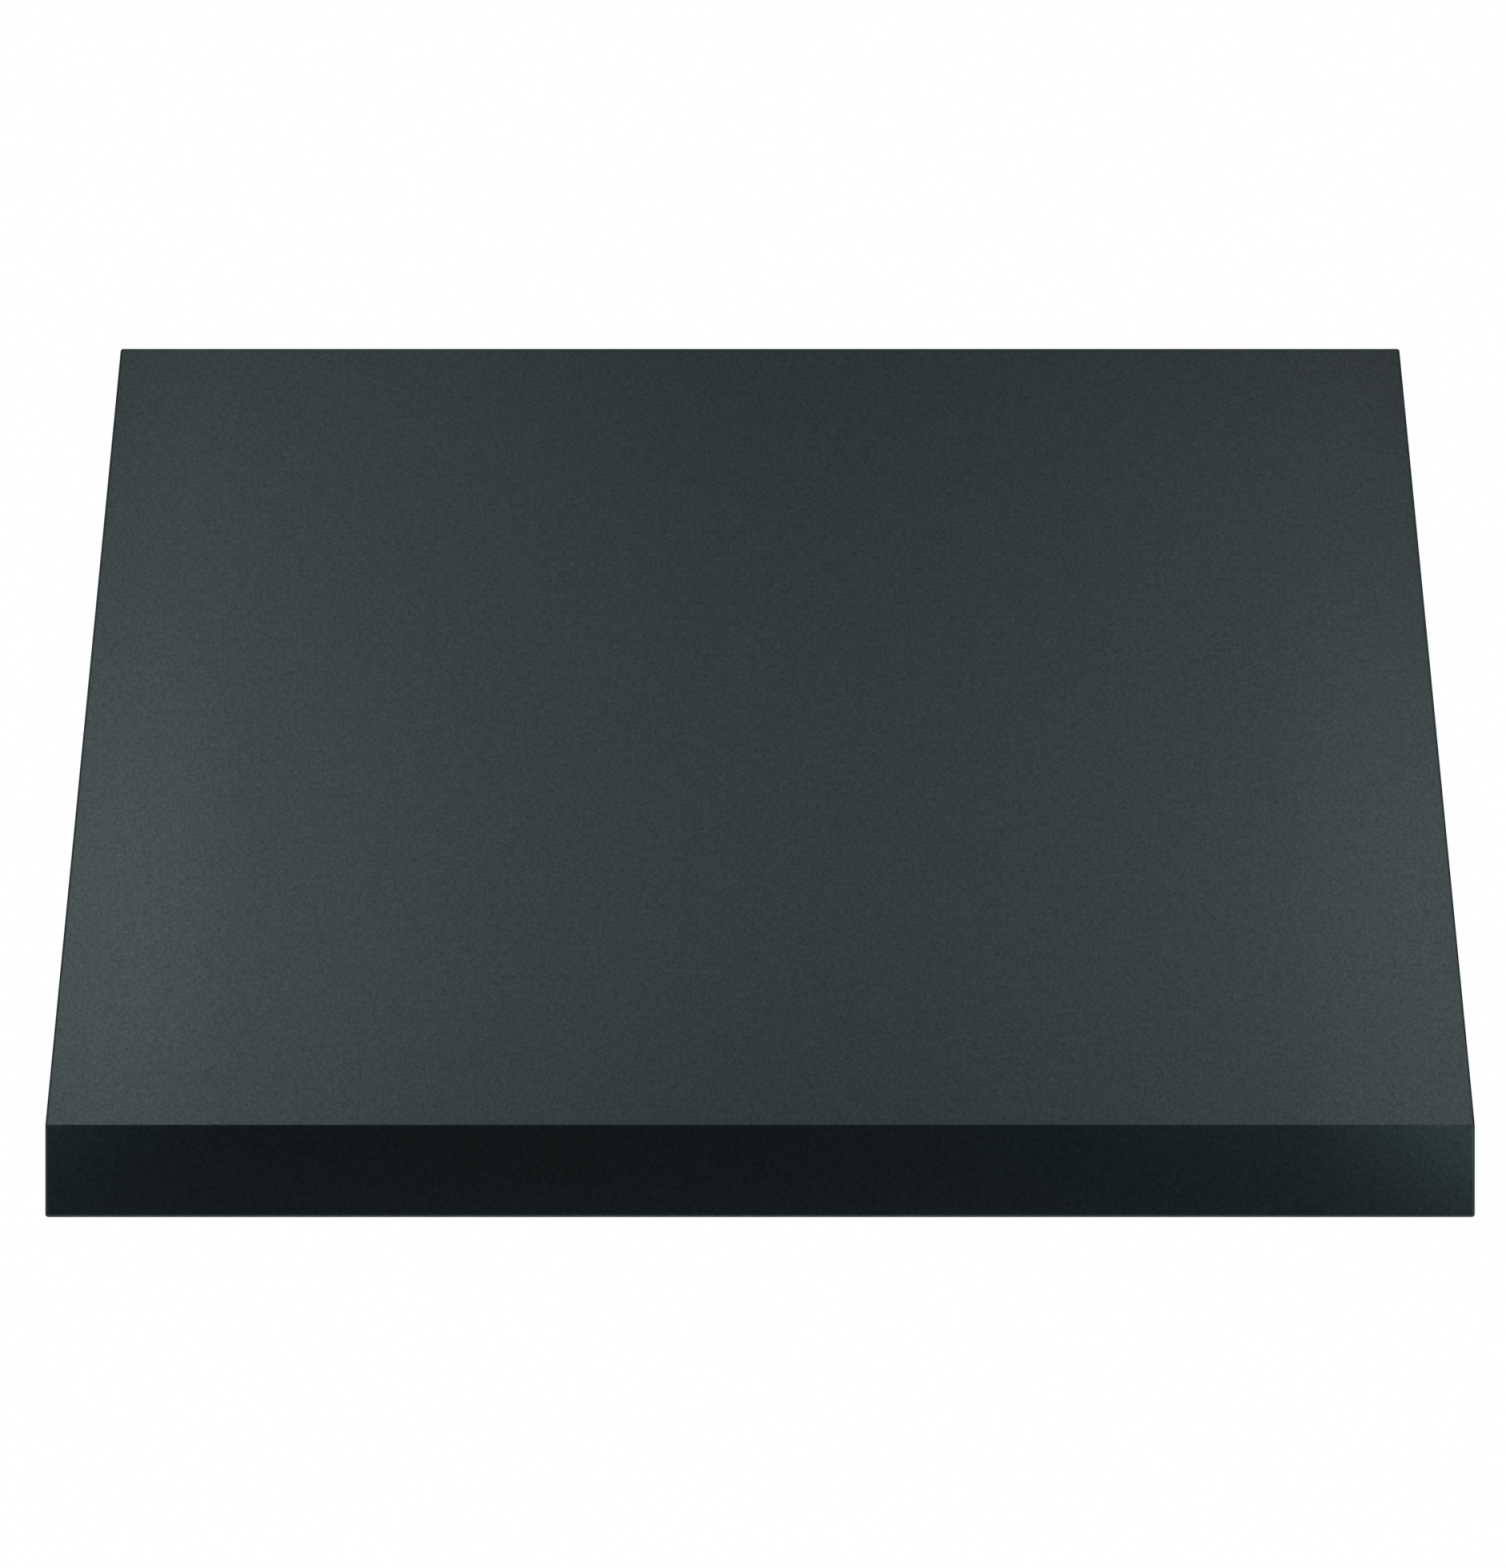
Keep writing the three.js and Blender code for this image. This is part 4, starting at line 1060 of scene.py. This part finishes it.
def knob(name, body):
    """A flared skirt with a finger grip across its face, and a dark line set into the grip."""
    node = f"{name}_knob"
    low, high = corners(node)
    x, y, _ = middle(node)
    z = low.z
    shape = bmesh.new()
    skirt = [(0, z + 7), (15.6, z + 7), (17.4, z + 7.5), (18.5, z + 8.8), (20.2, z + 13), (21, z + 16),
             (21, high.z - 0.4), (20.6, high.z), (0, high.z)]
    turned(shape, skirt, (x, y, 0), steps=96, closed=False)
    levels = ((8.6, 1.14), (7.4, 1.04), (6.4, 1.0), (2.6, 0.95), (1.2, 0.9), (0.5, 0.8), (0.2, 0.66))
    outline = superellipse(4.7, 19.6, 0.55)
    rings = []
    for height, scale in levels:
        draw_in = 1 - (1 - scale) * 0.25
        rings.append([(x + u * scale, y + v * draw_in, z + height) for u, v in outline])
    loft(shape, rings)
    piece(f"{name}_dial", shape, "bright_steel", body, [node])
    mark = bmesh.new()
    block(mark, (x - 0.6, y - 17.4, z), (x + 0.6, y - 6, z + 0.6))
    piece(f"{name}_dial_mark", mark, "black_plastic", body, edge=0.1)


def dial_plate(name):
    """A ring under the rail round a knob, with plain ticks for its settings."""
    x, y, _ = middle(f"{name}_knob")
    z = corners("front_rail")[0].z
    plate = bmesh.new()
    turned(plate, [(9, z - 0.8), (26.4, z - 0.8), (27, z - 0.3), (27, z), (9, z)], (x, y, 0), steps=96)
    piece(f"{name}_dial_plate", plate, "stainless")
    ticks = bmesh.new()
    for k in range(5):
        tick = block(ticks, (23, -0.4, z - 0.95), (25.6, 0.4, z - 0.7))
        turn = Matrix.Translation((x, y, 0)) @ Matrix.Rotation(-math.pi / 2 + math.radians(60) * k, 4, "Z")
        bmesh.ops.transform(ticks, verts=tick, matrix=turn)
    piece(f"{name}_dial_ticks", ticks, "black_plastic")


def spindle(name, body):
    node = f"{name}_spindle"
    low, high = corners(node)
    x, y, _ = middle(node)
    shape = bmesh.new()
    line = [(0, low.z), (2.5, low.z), (3, low.z + 0.5), (3, high.z - 0.5), (2.5, high.z), (0, high.z)]
    turned(shape, line, (x, y, 0), steps=32, closed=False)
    piece(f"{name}_spindle_rod", shape, "bright_steel", body, [node])


def switch(name):
    """A moulded body above the rail, a threaded bushing with its nut below, and four tabs."""
    node = f"{name}_switch"
    low, high = corners(node)
    x, y, _ = middle(node)
    half = high.x - x
    foot, top = low.z + 4.5, high.z - 5.5
    shape = bmesh.new()
    block(shape, (x - half, y - half, foot), (x + half, y + half, top))
    block(shape, (x - half + 3, y - half + 3, top - 1), (x + half - 3, y + half - 3, top + 1.5))
    piece(f"{name}_switch_body", shape, "black_plastic", replaced=[node], edge=0.8)
    bushing = bmesh.new()
    thread = []
    for k in range(7):
        thread += [(6, low.z + 0.7 * k + 0.1), (5.5, low.z + 0.7 * k + 0.45)]
    turned(bushing, [(3.4, low.z)] + thread + [(3.4, low.z + 4.9)], (x, y, 0), steps=40)
    piece(f"{name}_bushing", bushing, "brass")
    tabs = bmesh.new()
    for sx in (-1, 1):
        for sy in (-1, 1):
            place = (x + sx * (half - 8), y + sy * (half - 7))
            block(tabs, (place[0] - 0.4, place[1] - 3.1, top), (place[0] + 0.4, place[1] + 3.1, high.z))
    piece(f"{name}_switch_tabs", tabs, "brass", edge=0.15)


def controls():
    for name in ("fan", "light"):
        knob(name, f"{name}_control")
        dial_plate(name)
        spindle(name, f"{name}_control")
        switch(name)


# ---- Electrics ----------------------------------------------------------------------

LEAD_RADIUS = 3.5
LEAD_BEND = 24.0
LEAD_CLEAR = 14.0
GLAND_Y = -370.0
MOTOR_GLAND_X = 150.0
SUPPLY_SIDESTEP = 10.0


def control_box():
    carried("control_box", "galvanised", 0.8)
    low, high = corners("control_box")
    screws = bmesh.new()
    for x in (low.x + 8, high.x - 8):
        for y in (low.y + 8, high.y - 8):
            pan_head(screws, (x, y, high.z), UP, 3.0)
    piece("control_box_screws", screws, "bright_steel")


def junction():
    carried("junction_box", "galvanised", 0.5)
    carried("junction_cover", "galvanised", 0.5)
    low, high = corners("junction_cover")
    screws = bmesh.new()
    for x in (low.x + 9, high.x - 9):
        for y in (low.y + 9, high.y - 9):
            pan_head(screws, (x, y, high.z), UP, 3.2)
    piece("junction_cover_screws", screws, "bright_steel")
    box_low, box_high = corners("junction_box")
    bushes = bmesh.new()
    sleeve = [(8, -0.4), (13, -0.4), (13, 0.8), (10.8, 1.2), (10.8, 2.4), (8, 2.4)]
    side = Vector((box_high.x, 0, box_low.z + 18))
    turned(bushes, [(radius, 1 - depth) for radius, depth in sleeve], side, "x", 48)
    grommet = [(4.2, -4), (12.6, -4), (12.6, -2), (10.4, -1.8), (10.4, 2.6), (12.6, 2.8), (12.6, 4), (4.2, 4)]
    turned(bushes, grommet, (middle("junction_box").x, 0, box_low.z), steps=48)
    piece("junction_bushes", bushes, "rubber")


def lead(node, points):
    """A jacketed lead along a line of points, in place of its CAD solid."""
    shape = bmesh.new()
    tube(shape, rounded_path(points, LEAD_BEND, 14), LEAD_RADIUS, 20)
    piece(f"{node}_jacket", shape, "cable_jacket", replaced=[node])


def leads():
    """The supply from the junction box to the control box, and on to the motor."""
    box_x = middle("junction_box").x
    deck = corners("junction_box")[0].z - 0.3
    end = corners("control_box")[1].z + 2
    upper, lower = deck - 30, end + 38
    gland_x = box_x - SUPPLY_SIDESTEP
    top = Vector((box_x, LEAD_CLEAR - inside_y(upper), upper))
    foot = Vector((gland_x, LEAD_CLEAR - inside_y(lower), lower))
    lead("supply_lead", [(box_x, 0, deck + 12), (box_x, 0, upper), top, foot, (gland_x, GLAND_Y, end)])
    start = (0, corners("motor")[0].y - 4, middle("motor").z - 10)
    lead("motor_lead", [start, (0, -190, start[2]), (0, -330, 150), (MOTOR_GLAND_X, GLAND_Y, 130),
                        (MOTOR_GLAND_X, GLAND_Y, end)])
    glands = bmesh.new()
    gland = [(3.8, end - 2), (8, end - 2), (8, end), (6.4, end + 1), (5.4, end + 8), (3.8, end + 9)]
    for x in (gland_x, MOTOR_GLAND_X):
        turned(glands, gland, (x, GLAND_Y, 0), steps=40)
    piece("lead_glands", glands, "rubber")
    lead_clips(top, foot)


def lead_clips(top, foot):
    """Three clips that hold the supply lead to the front slope, on short posts."""
    clips = bmesh.new()
    along = (foot - top).normalized() * 5
    outward = Vector((0, -math.cos(SLOPE_ANGLE), math.sin(SLOPE_ANGLE)))
    reach = LEAD_CLEAR * math.cos(SLOPE_ANGLE) - 0.4
    for t in (0.2, 0.5, 0.8):
        place = top.lerp(foot, t)
        tube(clips, [place - along, place + along], LEAD_RADIUS + 1.2, 20)
        tube(clips, [place + outward * 4, place + outward * reach], 3, 16)
    piece("lead_clips", clips, "black_plastic")


def electrics():
    control_box()
    junction()
    leads()


# ---- Studio -------------------------------------------------------------------------

CAMERA_DISTANCE = 2.26
CAMERA_HEIGHT = 0.277
LENS = 81.2
SENSOR = 36.0
SHIFT_X = -0.0045
FLOOR_DROP = 2.5
FLOOR_HALF = 4.5


def camera():
    data = bpy.data.cameras.new("camera")
    data.lens = LENS
    data.sensor_width = SENSOR
    data.shift_x = SHIFT_X
    obj = bpy.data.objects.new("camera", data)
    obj.location = (0, CAD_BOX[0].y - CAMERA_DISTANCE, RIM + CAMERA_HEIGHT)
    obj.rotation_euler = (math.pi / 2, 0, 0)
    bpy.context.scene.collection.objects.link(obj)
    bpy.context.scene.camera = obj


def floor():
    """A pale studio floor, well below the hanging hood."""
    shape = bmesh.new()
    steps = [FLOOR_HALF * (k / 4 - 1) for k in range(9)]
    loft(shape, [[Vector((x, y, RIM - FLOOR_DROP)) for y in steps] for x in steps], closed=False, ends=False)
    bmesh.ops.recalc_face_normals(shape, faces=shape.faces)
    mesh = bpy.data.meshes.new("floor")
    shape.to_mesh(mesh)
    shape.free()
    mesh.materials.append(studio_paper())
    obj = bpy.data.objects.new("floor", mesh)
    bpy.context.scene.collection.objects.link(obj)


def softbox(name, place, target, power, colour):
    """A square light that shows in reflections but not to the camera itself."""
    data = bpy.data.lights.new(name, "AREA")
    data.size = LIGHT_SIZE
    data.energy = power
    data.color = colour
    obj = bpy.data.objects.new(name, data)
    obj.location = place
    aim = Vector(target) - Vector(place)
    obj.rotation_euler = aim.to_track_quat("-Z", "Y").to_euler()
    obj.visible_camera = False
    bpy.context.scene.collection.objects.link(obj)


LIGHT_RANGE = 3.2
LIGHT_SIZE = 1.1
WARM = (1.0, 0.90, 0.86)
COOL = (0.82, 1.0, 1.0)
WHITE = (1.0, 1.0, 1.0)
# Softboxes: bearing to the right of the camera, elevation, power, colour.
FRONT_BOXES = (
    (-35, 36, 10.8, WARM), (-35, 50, 5.4, WARM), (-35, 64, 4.4, WARM), (-35, 0, 4.0, COOL),
    (-18, 36, 6.4, WHITE), (0, 50, 2.5, WHITE), (0, 64, 1.3, WHITE), (18, 36, 4.1, WHITE),
    (35, 36, 9.9, WARM), (35, 50, 4.7, WARM), (35, 64, 3.0, WARM), (35, 0, 16.5, COOL),
)
BACK_BOXES = ((180, 50, 3.0, WHITE), (180, 0, 5.0, WHITE))
# White pairs, one box on each side: bearing, elevation, power.
FLANK_PAIRS = ((63, 17, 8.0), (90, 30, 8.0), (117, 17, 8.0), (145, 36, 8.0), (145, 50, 4.0))
LOW_PAIRS = ((60, -12, 7.0), (90, -12, 7.0), (120, -12, 7.0))


def mirrored(pairs):
    """Each pair's left box and then its right one."""
    return tuple((side * bearing, rise, power, WHITE) for bearing, rise, power in pairs for side in (-1, 1))


def studio_lights():
    centre = (CAD_BOX[0] + CAD_BOX[1]) / 2
    boxes = FRONT_BOXES + mirrored(FLANK_PAIRS) + BACK_BOXES + mirrored(LOW_PAIRS)
    for bearing, rise, power, colour in boxes:
        b, e = math.radians(bearing), math.radians(rise)
        way = Vector((math.sin(b) * math.cos(e), -math.cos(b) * math.cos(e), math.sin(e)))
        softbox(f"softbox_{bearing}_{rise}", centre + way * LIGHT_RANGE, centre, power, colour)
    surround()
    bpy.context.scene.view_settings.view_transform = "Standard"


def surround():
    """A white room that lights the floor evenly but leaves the metal to the softboxes."""
    world = bpy.data.worlds.new("studio")
    world.use_nodes = True
    room = world.node_tree.nodes["Background"]
    room.inputs["Color"].default_value = (1.0, 1.0, 1.0, 1)
    room.inputs["Strength"].default_value = 1.0
    world.cycles_visibility.glossy = False
    bpy.context.scene.world = world


camera()
floor()
studio_lights()
shell()
top_recess()
rails()
grease_tray()
filters()
blower()
lamps()
controls()
electrics()
